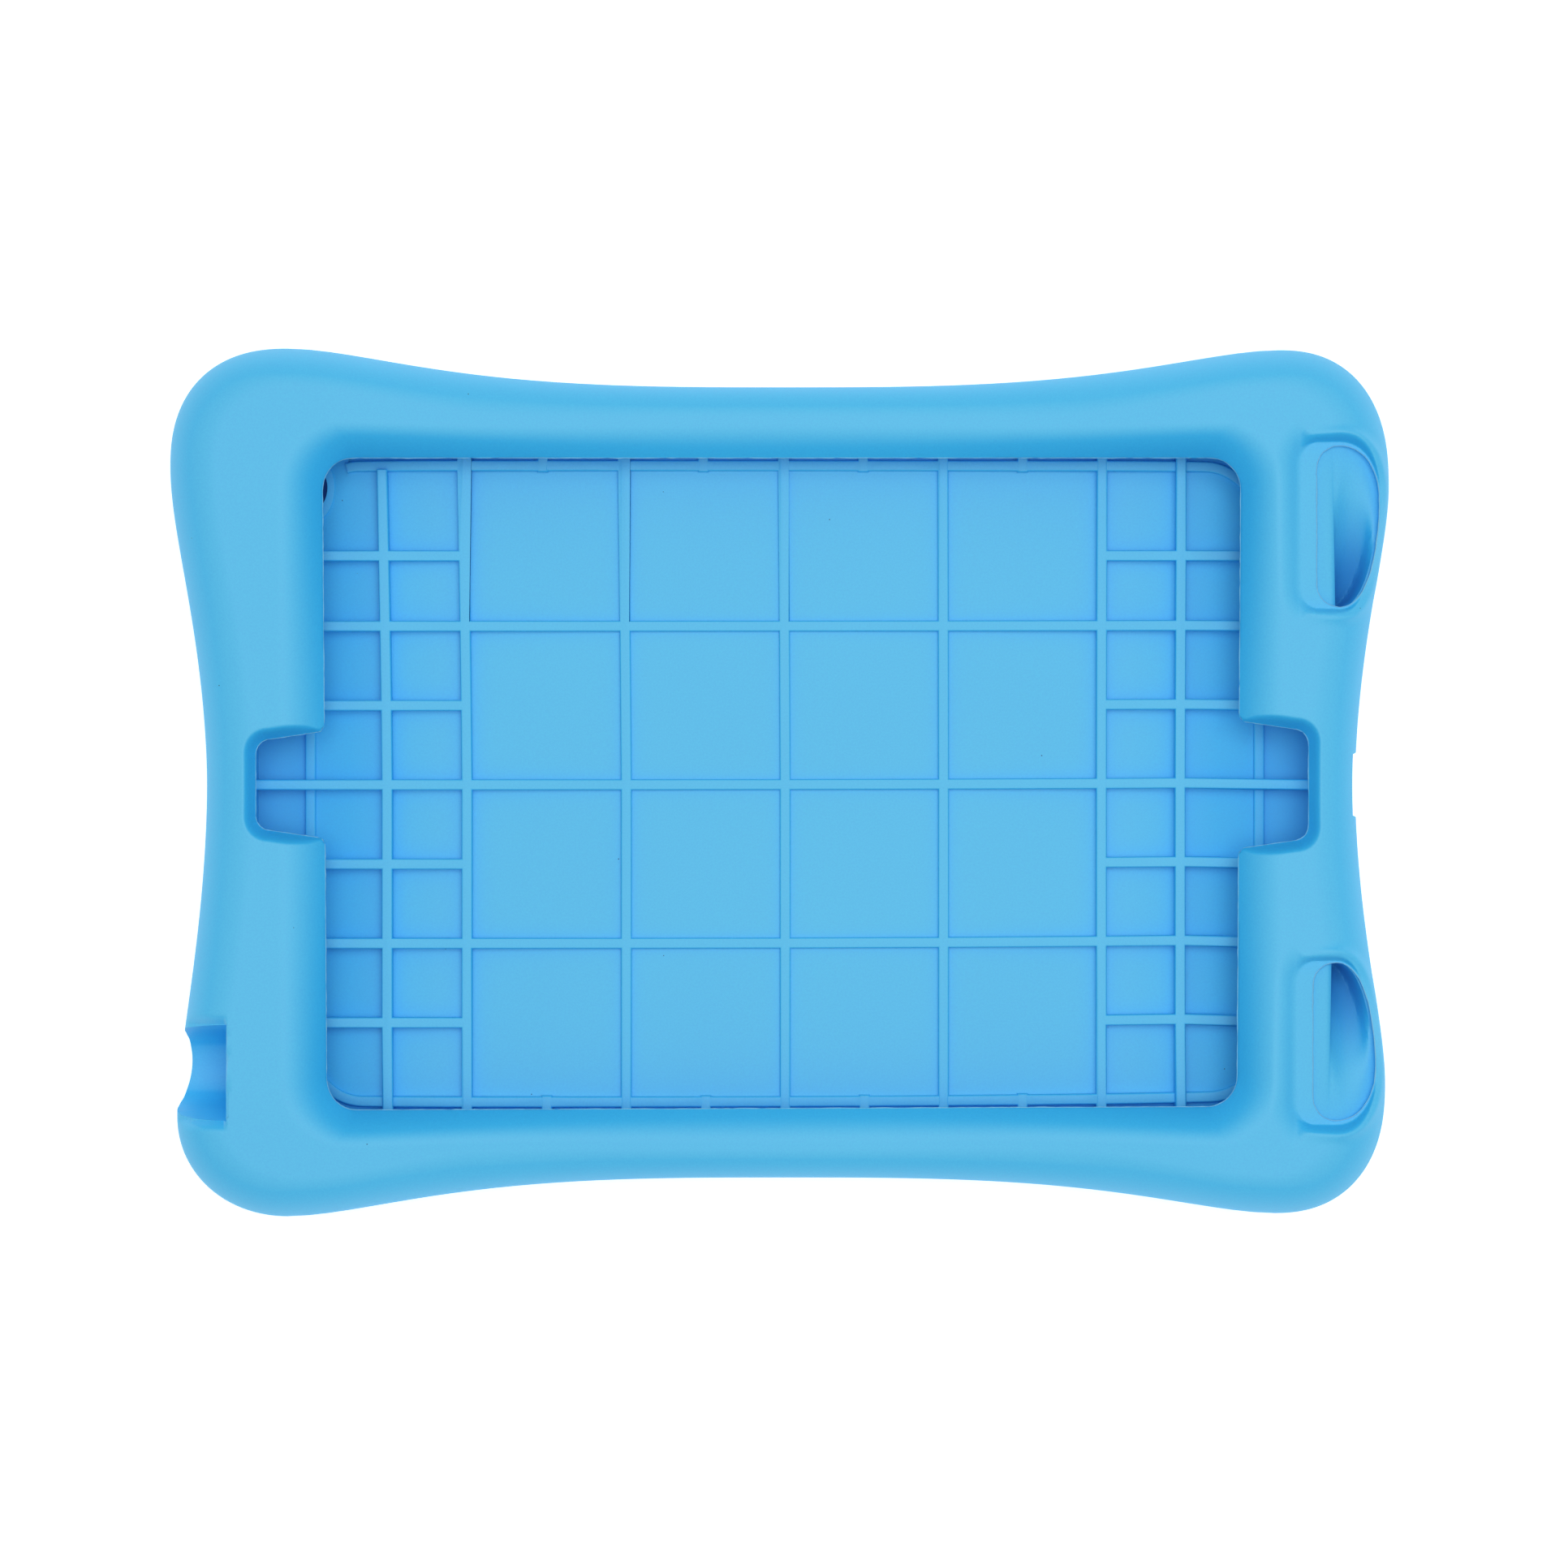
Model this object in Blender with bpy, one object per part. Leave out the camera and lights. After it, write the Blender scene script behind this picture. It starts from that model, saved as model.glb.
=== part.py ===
"""Shockproof case for an 8-inch-class tablet, moulded in one piece of soft silicone.

The case lies on its back with its window up. X runs along the tablet, Y across it and Z up, in
metres. The plan is laid out round the middle of the tablet, and the finished shell is moved so
that the origin is on the table under the middle of the whole outline.
"""

import math
from dataclasses import dataclass

import bmesh
import bpy
from mathutils import Matrix, Vector

# Tablet that the pocket holds
TABLET_LENGTH = 0.2000
TABLET_WIDTH = 0.1347
TABLET_THICKNESS = 0.0072
TABLET_CORNER = 0.0100

# Lip that holds the tablet in, as far as it reaches over the glass on each side
LIP_LEFT = 0.0133
LIP_RIGHT = 0.0145
LIP_UPPER = 0.0063
LIP_LOWER = 0.0066
LIP_EDGE = 0.0009
WINDOW_CORNER = 0.0058

# Wall outside the tablet at the waist of each side
WAIST_LEFT = 0.0089
WAIST_RIGHT = 0.0075
WAIST_UPPER = 0.0075
WAIST_LOWER = 0.0066

# Heights of the bumper's crown above the table, and where its side is widest
CROWN_CORNER = 0.0210
CROWN_SHORT = 0.0192
CROWN_LONG = 0.0180
SIDE_LEVEL = 0.46
OUTER_ROUND = 0.0100
LOWER_ROUND = 0.0075
SLOPE_LONG = 0.0064
SLOPE_SHORT = 0.0080
SLOPE_SHARES = (1.0, 0.7, 0.42, 0.2)
PLATEAU_SHARE = 0.14

# How the sides swell from waist to corner: powers at the waist and at the corner
SHORT_POWERS = (1.8, 5.0)
LONG_POWERS = (3.0, 8.0)

# Back wall, which arches off the table between two flat end pads
BACK_WALL = 0.0024
ARCH_RISE = 0.0031
ARCH_POWER = 2.4
END_PAD = 0.0120
MOAT_DEPTH = 0.0008

# Ribs under the tablet
RIB_WIDTH = 0.0020
RIB_OVER_ARCH = 0.0010
FRAME_INSET_X = 0.0100
FRAME_INSET_Y = 0.00735
FRAME_RIB_RISE = 0.0008
STUB_DROP = 0.0002
FRAME_CORNER = 0.0102
BAYS_X = 12
BAYS_Y = 8
RIBS_ACROSS = (-5, -4, -2, 0, 2, 4, 5)
OPEN_BAYS = 4
UPPER_RIB_DROP = 0.0017

# Notches in the lip over the home button and the front camera
NOTCH_DEPTH_LEFT = 0.0125
NOTCH_DEPTH_RIGHT = 0.0127
NOTCH_MOUTH_LEFT = 0.0099
NOTCH_MOUTH_RIGHT = 0.0118
NOTCH_TAPER = 0.0013
NOTCH_CORNER = 0.0028
NOTCH_FLARE = 0.0014
NOTCH_DRAFT = 0.0016
NOTCH_ROUND = 0.0014
NOTCH_ROLL = ((1.0, 0.0), (0.25, 0.6), (-0.5, 2.0))

# Speaker scoops in the right bar, one towards each corner
SCOOP_WALL = 0.0025
SCOOP_WIDTH = 0.0119
SCOOP_SPINE = 0.0075
SCOOP_END = 0.0042
SCOOP_LENGTH = 0.0300
SCOOP_BELLY = 0.0104
SCOOP_FULLNESS = 2.15
SCOOP_CORNER = 0.0045
LEDGE_WIDTH = 0.0032
LEDGE_WALL = 0.0010
GROOVE_BOTTOM = 0.0066
GROOVE_CORNER = 0.0020
RECESS_MARGIN = 0.0050
RECESS_CORNER = 0.0035
RECESS_OUTER = 0.0020
RECESS_INNER = 0.0011
RECESS_SIDE = 0.0004
RECESS_DEPTH = 0.0024
RECESS_SLOPE = 0.15
RIM_WIDTH = 0.0018
RIM_DROP = 0.0006
RIM_ROUND = 0.0008
RIM_SLOPE = 0.22
SLOT_HEIGHT = 0.0030
SLOT_MARGIN = 0.0050
SLOT_OVERLAP = 0.0016

# Scoop and hole for the earphone plug, charging port, and camera hole
PLUG_SCOOP_RADIUS = 0.0092
PLUG_SCOOP_WALL = 0.0048
PLUG_SCOOP_BOTTOM = 0.0050
PLUG_FROM_SIDE = 0.01315
PLUG_HOLE_RADIUS = 0.0032
PORT_WIDTH = 0.0112
PORT_FLARE = 0.0022
PORT_MARGIN = 0.0002
CAMERA_FROM_END = 0.0073
CAMERA_FROM_SIDE = 0.01085
CAMERA_RADIUS = 0.0064
CAMERA_COLLAR = 0.0017
CAMERA_COLLAR_RISE = 0.0012
CAMERA_DISH = 0.0051

# Fineness of the mesh
SHORT_STEPS = 8
CORNER_STEPS = 9
LONG_STEPS = 11
ARC_STEPS = 4
BEND_STEPS = 6
NOTCH_STEPS = 4
ARCH_FACETS = 15
WIDE_SIDES = 40
NARROW_SIDES = 24
RIM_SEGMENTS = 2
WINDOW_TRIM = 0.0008
SAME_PLACE = 0.00001
OVERCUT = 0.0030

SILICONE_BLUE = (0.08, 0.45, 0.85, 1.0)
SILICONE_ROUGHNESS = 0.62

# Levels and half sizes that follow from the sizes above
HALF_LENGTH = TABLET_LENGTH / 2
HALF_WIDTH = TABLET_WIDTH / 2
RIB_TOP = BACK_WALL + ARCH_RISE + RIB_OVER_ARCH
POCKET_TOP = RIB_TOP + TABLET_THICKNESS
PORT_LEVEL = RIB_TOP + TABLET_THICKNESS / 2
LEDGE_HEIGHT = POCKET_TOP + LEDGE_WALL
FRAME_HALF_X = HALF_LENGTH - FRAME_INSET_X
FRAME_HALF_Y = HALF_WIDTH - FRAME_INSET_Y
PITCH_X = 2 * FRAME_HALF_X / BAYS_X
PITCH_Y = 2 * FRAME_HALF_Y / BAYS_Y
CLEAR_ABOVE = CROWN_CORNER + OVERCUT


@dataclass(frozen=True)
class Corner:
    """One padded corner: how far it stands out past the tablet, and where it is widest."""

    side_x: int
    side_y: int
    reach_x: float
    reach_y: float
    inset_x: float
    inset_y: float
    fullness: float

    @property
    def waist(self):
        """Half sizes of the outline at the middle of the short and the long side."""
        wall_x = WAIST_RIGHT if self.side_x > 0 else WAIST_LEFT
        wall_y = WAIST_UPPER if self.side_y > 0 else WAIST_LOWER
        return HALF_LENGTH + wall_x, HALF_WIDTH + wall_y

    @property
    def window(self):
        """Half sizes of the window on this corner's sides."""
        lip_x = LIP_RIGHT if self.side_x > 0 else LIP_LEFT
        lip_y = LIP_UPPER if self.side_y > 0 else LIP_LOWER
        return HALF_LENGTH - lip_x, HALF_WIDTH - lip_y

    @property
    def end(self):
        """Farthest reach of the outline in X and in Y."""
        return HALF_LENGTH + self.reach_x, HALF_WIDTH + self.reach_y

    @property
    def widest(self):
        """Where along X the outline is widest in Y, and the other way round."""
        return HALF_LENGTH - self.inset_x, HALF_WIDTH - self.inset_y


UPPER_RIGHT = Corner(1, 1, 0.0137, 0.0145, 0.0070, 0.0104, 2.35)
UPPER_LEFT = Corner(-1, 1, 0.0157, 0.0148, 0.0064, 0.0075, 2.35)
LOWER_LEFT = Corner(-1, -1, 0.0144, 0.0139, 0.0064, 0.0050, 2.05)
LOWER_RIGHT = Corner(1, -1, 0.0130, 0.0133, 0.0078, 0.0104, 2.30)


@dataclass(frozen=True)
class Station:
    """One cross-section of the bumper, from the outline in to the window's edge."""

    outer: Vector
    inner: Vector
    crown: float
    slope: float


def side_rise(share, powers):
    """How far a side has swelled: 0 at its waist, 1 at the corner, level at both."""
    at_waist, at_corner = powers
    ratio = at_waist / at_corner
    return share**at_waist * (1 + ratio - ratio * share**at_corner)


def blend(start, end, share):
    """The value at this share of the way from start to end."""
    return start + (end - start) * share


def back_height(x):
    """Underside of the back at x, level over both end pads and arched between them."""
    share = min(abs(x) / (HALF_LENGTH - END_PAD), 1.0)
    return ARCH_RISE * (1 - share**ARCH_POWER)


@dataclass(frozen=True)
class Facets:
    """The arch of the back as a row of flat strips, so that each face stays flat."""

    reach: float
    count: int

    @property
    def lines(self):
        """The x of each fold between the strips."""
        return [self.reach * (2 * index / self.count - 1) for index in range(self.count + 1)]

    def height(self, x):
        """Height of the strips over the table at x."""
        place = min(max((x / self.reach + 1) / 2, 0.0), 1.0) * self.count
        first = min(int(place), self.count - 1)
        low, high = (back_height(line) for line in self.lines[first : first + 2])
        return blend(low, high, place - first)


FLOOR = Facets(HALF_LENGTH - END_PAD, ARCH_FACETS)
MOAT = Facets(HALF_LENGTH - END_PAD + MOAT_DEPTH, ARCH_FACETS + 1)


def floor_height(x):
    """Inside of the back at x, within the frame rib."""
    return FLOOR.height(x) + BACK_WALL


def moat_height(x):
    """Inside of the back at x, between the frame rib and the pocket's wall."""
    return MOAT.height(x) + BACK_WALL - MOAT_DEPTH


def fold(bm, lines):
    """Adds an edge round the mesh at each of these x, where its faces will bend."""
    for x in lines:
        bmesh.ops.bisect_plane(
            bm,
            geom=bm.verts[:] + bm.edges[:] + bm.faces[:],
            dist=1e-6,
            plane_co=(x, 0, 0),
            plane_no=(1, 0, 0),
        )


def quarter_stations(corner):
    """Stations of one quarter, from the middle of its short side to that of its long side."""
    waist_x, waist_y = corner.waist
    window_x, window_y = corner.window
    end_x, end_y = corner.end
    widest_x, widest_y = corner.widest
    radius = WINDOW_CORNER + WINDOW_TRIM
    straight_x = window_x - radius
    straight_y = window_y - radius
    rows = []
    for step in range(SHORT_STEPS):
        share = step / SHORT_STEPS
        rise = side_rise(share, SHORT_POWERS)
        outer = (blend(waist_x, end_x, rise), widest_y * share)
        inner = (window_x, straight_y * share)
        rows.append((outer, inner, blend(CROWN_SHORT, CROWN_CORNER, rise), SLOPE_SHORT))
    for step in range(CORNER_STEPS + 1):
        angle = math.pi / 2 * step / CORNER_STEPS
        power = 2 / corner.fullness
        out_x = max(math.cos(angle), 0.0) ** power
        out_y = math.sin(angle) ** power
        outer = (blend(widest_x, end_x, out_x), blend(widest_y, end_y, out_y))
        inner = (straight_x + radius * math.cos(angle), straight_y + radius * math.sin(angle))
        rows.append((outer, inner, CROWN_CORNER, SLOPE_SHORT))
    for step in range(1, LONG_STEPS + 1):
        share = 1 - step / LONG_STEPS
        rise = side_rise(share, LONG_POWERS)
        outer = (widest_x * share, blend(waist_y, end_y, rise))
        inner = (straight_x * share, window_y)
        crown = blend(CROWN_LONG, CROWN_CORNER, rise)
        rows.append((outer, inner, crown, blend(SLOPE_LONG, SLOPE_SHORT, rise)))
    flip = Matrix.Diagonal((corner.side_x, corner.side_y))
    return [
        Station(flip @ Vector(outer), flip @ Vector(inner), crown, slope)
        for outer, inner, crown, slope in rows
    ]


def all_stations():
    """Stations once round the case, anticlockwise from the middle of the right side."""
    stations = []
    stations += quarter_stations(UPPER_RIGHT)[:-1]
    stations += quarter_stations(UPPER_LEFT)[:0:-1]
    stations += quarter_stations(LOWER_LEFT)[:-1]
    stations += quarter_stations(LOWER_RIGHT)[:0:-1]
    return stations


def section_points(station):
    """One section's points, from the edge of the underside over the crown to the window."""
    across = station.inner - station.outer
    width = across.length
    inward = across / width
    base = back_height(station.outer.x)
    side = blend(base, station.crown, SIDE_LEVEL)
    edge = POCKET_TOP + LIP_EDGE
    outer_round = min(OUTER_ROUND, (width - station.slope) * (1 - PLATEAU_SHARE))
    points = []

    def add(distance, height):
        place = station.outer + inward * distance
        points.append(Vector((place.x, place.y, height)))

    for step in range(ARC_STEPS, 0, -1):
        angle = math.pi / 2 * step / ARC_STEPS
        add(LOWER_ROUND * (1 - math.cos(angle)), side - (side - base) * math.sin(angle))
    for step in range(ARC_STEPS + 2):
        angle = math.pi / 2 * step / (ARC_STEPS + 1)
        rise = (station.crown - side) * math.sin(angle)
        add(outer_round * (1 - math.cos(angle)), side + rise)
    for share in SLOPE_SHARES:
        drop = (station.crown - edge) * (1 - share) ** 2
        add(width - station.slope * share, station.crown - drop)
    add(width + WINDOW_TRIM, edge - WINDOW_TRIM)
    return points


def rounded_box(half_x, half_y, radius):
    """Outline of a rectangle with round corners. Each half size is a (low, high) pair."""
    points = []
    corners = (
        (half_x[1], half_y[1], 0),
        (half_x[0], half_y[1], 1),
        (half_x[0], half_y[0], 2),
        (half_x[1], half_y[0], 3),
    )
    for corner_x, corner_y, turn in corners:
        centre_x = corner_x - math.copysign(radius, corner_x - sum(half_x) / 2)
        centre_y = corner_y - math.copysign(radius, corner_y - sum(half_y) / 2)
        for step in range(BEND_STEPS + 1):
            angle = math.pi / 2 * (turn + step / BEND_STEPS)
            points.append(
                (centre_x + radius * math.cos(angle), centre_y + radius * math.sin(angle))
            )
    return points


def egg_outline(left, spine, right, low, belly, high, left_round):
    """Outline of a scoop: a straight left side and an egg-shaped right side."""
    quarters = (
        ((spine, belly), (right - spine, high - belly), 0),
        ((left + left_round, high - left_round), (left_round, left_round), 1),
        ((left + left_round, low + left_round), (left_round, left_round), 2),
        ((spine, belly), (right - spine, belly - low), 3),
    )
    points = []
    for (centre_x, centre_y), (size_x, size_y), turn in quarters:
        for step in range(BEND_STEPS + 1):
            angle = math.pi / 2 * (turn + step / BEND_STEPS)
            power = 2 / SCOOP_FULLNESS
            cos, sin = math.cos(angle), math.sin(angle)
            reach_x = math.copysign(abs(cos) ** power, cos) * size_x
            reach_y = math.copysign(abs(sin) ** power, sin) * size_y
            points.append((centre_x + reach_x, centre_y + reach_y))
    return [
        point
        for index, point in enumerate(points)
        if (Vector(point) - Vector(points[index - 1])).length > SAME_PLACE
    ]


def object_from(bm, name, collection):
    """Turns the bmesh into a named object with its faces pointing out."""
    bmesh.ops.recalc_face_normals(bm, faces=bm.faces)
    mesh = bpy.data.meshes.new(name)
    bm.to_mesh(mesh)
    bm.free()
    made = bpy.data.objects.new(name, mesh)
    collection.objects.link(made)
    return made


def add_prism(bm, outline, low, high):
    """Adds an upright prism. Low and high are heights, or functions of x."""
    low_at = low if callable(low) else lambda x: low
    high_at = high if callable(high) else lambda x: high
    base = bmesh.ops.contextual_create(bm, geom=[bm.verts.new((x, y, 0)) for x, y in outline])
    face = base["faces"][0]
    floor = list(face.verts)
    grown = bmesh.ops.extrude_face_region(bm, geom=[face], use_keep_orig=True)
    roof = [item for item in grown["geom"] if isinstance(item, bmesh.types.BMVert)]
    for vert in floor:
        vert.co.z = low_at(vert.co.x)
    for vert in roof:
        vert.co.z = high_at(vert.co.x)


def add_bar(bm, low_corner, high_corner):
    """Adds a box between two opposite corners."""
    low, high = Vector(low_corner), Vector(high_corner)
    size = high - low
    place = Matrix.Translation((low + high) / 2) @ Matrix.Diagonal((*size, 1))
    bmesh.ops.create_cube(bm, size=1.0, matrix=place)


def cutter(bm, name, cutters):
    """A helper solid for a Boolean, shown as a wire and left out of a render."""
    made = object_from(bm, name, cutters)
    made.hide_render = True
    made.display_type = "WIRE"
    return made


def combine(target, operation, other):
    """Adds a live Boolean to the target."""
    modifier = target.modifiers.new(f"{operation.lower()} {other.name}", "BOOLEAN")
    modifier.operation = operation
    modifier.solver = "EXACT"
    modifier.object = other


def bumper_body(parts):
    """The solid outer body, lofted from section to section round the case."""
    bm = bmesh.new()
    sections = [
        [bm.verts.new(point) for point in section_points(station)]
        for station in all_stations()
    ]
    count = len(sections)
    for index, section in enumerate(sections):
        following = sections[(index + 1) % count]
        for row in range(len(section) - 1):
            bm.faces.new((section[row], following[row], following[row + 1], section[row + 1]))
    bm.faces.new([section[-1] for section in sections])
    quarter = SHORT_STEPS + CORNER_STEPS
    half = count // 2
    upper = [sections[index][0] for index in range(quarter, half - quarter + 1)]
    lower = [sections[count - index][0] for index in range(quarter, half - quarter + 1)]
    for index in range(len(upper) - 1):
        bm.faces.new((upper[index], lower[index], lower[index + 1], upper[index + 1]))
    left = [sections[index][0] for index in range(half - quarter, half + quarter + 1)]
    right = [sections[index % count][0] for index in range(-quarter, quarter + 1)]
    bm.faces.new(left)
    bm.faces.new(right)
    return object_from(bm, "case_shell", parts)


def floor_island(cutters):
    """The raised floor inside the frame rib, with the rib round it. It stands in the pocket."""
    bm = bmesh.new()
    half_rib = RIB_WIDTH / 2
    outer = rounded_box(
        (-FRAME_HALF_X - half_rib, FRAME_HALF_X + half_rib),
        (-FRAME_HALF_Y - half_rib, FRAME_HALF_Y + half_rib),
        FRAME_CORNER + half_rib,
    )
    inner = rounded_box(
        (-FRAME_HALF_X + half_rib, FRAME_HALF_X - half_rib),
        (-FRAME_HALF_Y + half_rib, FRAME_HALF_Y - half_rib),
        FRAME_CORNER - half_rib,
    )
    levels = ((outer, 0), (outer, 1), (inner, 1), (inner, 2))
    rings = [[bm.verts.new((x, y, level)) for x, y in ring] for ring, level in levels]
    for lower, upper in zip(rings, rings[1:]):
        for index in range(len(lower)):
            after = (index + 1) % len(lower)
            bm.faces.new((lower[index], lower[after], upper[after], upper[index]))
    bm.faces.new(rings[0])
    bm.faces.new(rings[-1])
    fold(bm, FLOOR.lines)
    for vert in bm.verts:
        if vert.co.z < 0.5:
            vert.co.z = -OVERCUT
        elif vert.co.z < 1.5:
            vert.co.z = floor_height(vert.co.x) + FRAME_RIB_RISE
        else:
            vert.co.z = floor_height(vert.co.x)
    return cutter(bm, "floor_island", cutters)


def ribs_across(cutters):
    """The ribs that run along Y, all with their tops in the plane of the tablet."""
    bm = bmesh.new()
    for bay in RIBS_ACROSS:
        middle = bay * PITCH_X
        reach = FRAME_HALF_Y - RIB_WIDTH / 4
        low = (middle - RIB_WIDTH / 2, -reach, -OVERCUT)
        add_bar(bm, low, (middle + RIB_WIDTH / 2, reach, RIB_TOP))
    return cutter(bm, "ribs_across", cutters)


def ribs_along(cutters):
    """The ribs that run along X. The odd ones are only in the close bays at the two ends."""
    bm = bmesh.new()
    wall = HALF_LENGTH + OVERCUT
    start = OPEN_BAYS * PITCH_X
    last = BAYS_Y // 2 - 1
    for bay in range(-last, last + 1):
        middle = bay * PITCH_Y
        if bay == last:
            middle -= UPPER_RIB_DROP
        spans = ((-wall, -start), (start, wall)) if bay % 2 else ((-wall, wall),)
        for low_x, high_x in spans:
            low = (low_x, middle - RIB_WIDTH / 2, -OVERCUT)
            add_bar(bm, low, (high_x, middle + RIB_WIDTH / 2, RIB_TOP))
    return cutter(bm, "ribs_along", cutters)


def rib_stubs(cutters):
    """Short stubs from the frame rib to the pocket's long walls, and across three corners."""
    bm = bmesh.new()
    for bay in range(1 - BAYS_X // 2, BAYS_X // 2):
        middle = bay * PITCH_X
        top = floor_height(middle) + FRAME_RIB_RISE - STUB_DROP
        for side in (-1, 1):
            start = FRAME_HALF_Y + RIB_WIDTH / 4
            ends = sorted((side * start, side * (HALF_WIDTH + OVERCUT)))
            low = (middle - RIB_WIDTH / 2, ends[0], -OVERCUT)
            add_bar(bm, low, (middle + RIB_WIDTH / 2, ends[1], top))
    centre_x = FRAME_HALF_X - FRAME_CORNER
    centre_y = FRAME_HALF_Y - FRAME_CORNER
    for side_x, side_y in ((1, 1), (1, -1), (-1, -1)):
        centre = Vector((side_x * centre_x, side_y * centre_y))
        outward = Vector((side_x, side_y)).normalized()
        across = Vector((-outward.y, outward.x)) * RIB_WIDTH / 2
        near = centre + outward * FRAME_CORNER
        far = near + outward * (FRAME_INSET_X + OVERCUT)
        outline = [near - across, far - across, far + across, near + across]
        top = floor_height(FRAME_HALF_X) + FRAME_RIB_RISE - STUB_DROP
        add_prism(bm, [tuple(point) for point in outline], -OVERCUT, top)
    return cutter(bm, "rib_stubs", cutters)


def camera_place():
    """Centre of the camera hole."""
    return Vector((-HALF_LENGTH + CAMERA_FROM_END, HALF_WIDTH - CAMERA_FROM_SIDE, 0))


def upright_cylinder(name, centre, radius, low, high, cutters):
    """A round helper solid between two heights."""
    bm = bmesh.new()
    bmesh.ops.create_cone(
        bm,
        cap_ends=True,
        segments=WIDE_SIDES,
        radius1=radius,
        radius2=radius,
        depth=high - low,
        matrix=Matrix.Translation((centre.x, centre.y, (low + high) / 2)),
    )
    return cutter(bm, name, cutters)


def pocket_space(cutters):
    """The space inside the case: the tablet's pocket down to the arched floor, less its ribs."""
    bm = bmesh.new()
    half_x = (-HALF_LENGTH, HALF_LENGTH)
    half_y = (-HALF_WIDTH, HALF_WIDTH)
    add_prism(bm, rounded_box(half_x, half_y, TABLET_CORNER), 0.0, POCKET_TOP)
    fold(bm, MOAT.lines)
    for vert in bm.verts:
        if vert.co.z < POCKET_TOP / 2:
            vert.co.z = moat_height(vert.co.x)
    space = cutter(bm, "pocket_space", cutters)
    camera = camera_place()
    moat = moat_height(camera.x)
    island = floor_island(cutters)
    dish_radius = CAMERA_RADIUS + CAMERA_DISH
    dish = upright_cylinder(
        "camera_dish", camera, dish_radius, -2 * OVERCUT, CLEAR_ABOVE, cutters
    )
    combine(island, "DIFFERENCE", dish)
    collar_top = moat + CAMERA_COLLAR_RISE
    collar_radius = CAMERA_RADIUS + CAMERA_COLLAR
    collar = upright_cylinder(
        "camera_collar", camera, collar_radius, -OVERCUT, collar_top, cutters
    )
    for solid in (island, ribs_across(cutters), ribs_along(cutters), rib_stubs(cutters), collar):
        combine(space, "DIFFERENCE", solid)
    return space


def window_cut(cutters):
    """The window, cut down through the lip into the pocket."""
    bm = bmesh.new()
    outline = rounded_box(
        (LIP_LEFT - HALF_LENGTH, HALF_LENGTH - LIP_RIGHT),
        (LIP_LOWER - HALF_WIDTH, HALF_WIDTH - LIP_UPPER),
        WINDOW_CORNER,
    )
    add_prism(bm, outline, PORT_LEVEL, CLEAR_ABOVE)
    return cutter(bm, "window_cut", cutters)


def notch_outline(edge, mouth, depth, grow):
    """Half of a notch's plan for x > 0, and its mirror image, as one outline."""
    radius = NOTCH_CORNER + grow
    end_x = edge + depth + grow
    end_half = mouth - NOTCH_TAPER + grow
    upper = [
        (edge - OVERCUT, mouth + NOTCH_FLARE + grow),
        (edge, mouth + NOTCH_FLARE + grow),
        (edge + NOTCH_FLARE, mouth + grow),
    ]
    for step in range(NOTCH_STEPS + 1):
        angle = math.pi / 2 * (1 - step / NOTCH_STEPS)
        x = end_x - radius + radius * math.cos(angle)
        upper.append((x, end_half - radius + radius * math.sin(angle)))
    return upper + [(x, -y) for x, y in reversed(upper)]


def notch_cut(side, cutters):
    """A notch through the lip, with drafted walls that roll over at the top."""
    lip, mouth, depth = (
        (LIP_RIGHT, NOTCH_MOUTH_RIGHT, NOTCH_DEPTH_RIGHT)
        if side > 0
        else (LIP_LEFT, NOTCH_MOUTH_LEFT, NOTCH_DEPTH_LEFT)
    )
    edge = HALF_LENGTH - lip
    levels = [(PORT_LEVEL, 0.0), (POCKET_TOP + LIP_EDGE, 0.0)]
    for below, outward in NOTCH_ROLL:
        levels.append((CROWN_SHORT - NOTCH_ROUND * below, NOTCH_DRAFT + NOTCH_ROUND * outward))
    bm = bmesh.new()
    rings = []
    for height, grow in levels:
        outline = notch_outline(edge, mouth, depth, grow)
        rings.append([bm.verts.new((side * x, y, height)) for x, y in outline])
    for lower, upper in zip(rings, rings[1:]):
        for index in range(len(lower)):
            after = (index + 1) % len(lower)
            bm.faces.new((lower[index], lower[after], upper[after], upper[index]))
    bm.faces.new(rings[0])
    bm.faces.new(rings[-1])
    return cutter(bm, "notch_right" if side > 0 else "notch_left", cutters)


@dataclass(frozen=True)
class Scoop:
    """One speaker scoop. Its sizes are laid out towards its own corner."""

    name: str
    corner: Corner

    @property
    def right(self):
        """Outer side of the mouth."""
        return self.corner.end[0] - SCOOP_WALL

    @property
    def left(self):
        """Side of the mouth next to the tablet."""
        return self.right - SCOOP_WIDTH

    @property
    def high(self):
        """End of the mouth next to the corner, as a distance from the middle."""
        return HALF_WIDTH - SCOOP_END

    def outline(self, left=0.0, right=0.0, inner=0.0, outer=0.0, corner=SCOOP_CORNER):
        """The mouth's plan, grown by these on its four sides, on the side of its corner."""
        points = egg_outline(
            self.left - left,
            self.right - SCOOP_SPINE,
            self.right + right,
            self.high - SCOOP_LENGTH - inner,
            self.high - SCOOP_BELLY,
            self.high + outer,
            corner,
        )
        return [(x, y * self.corner.side_y) for x, y in points]


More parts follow.
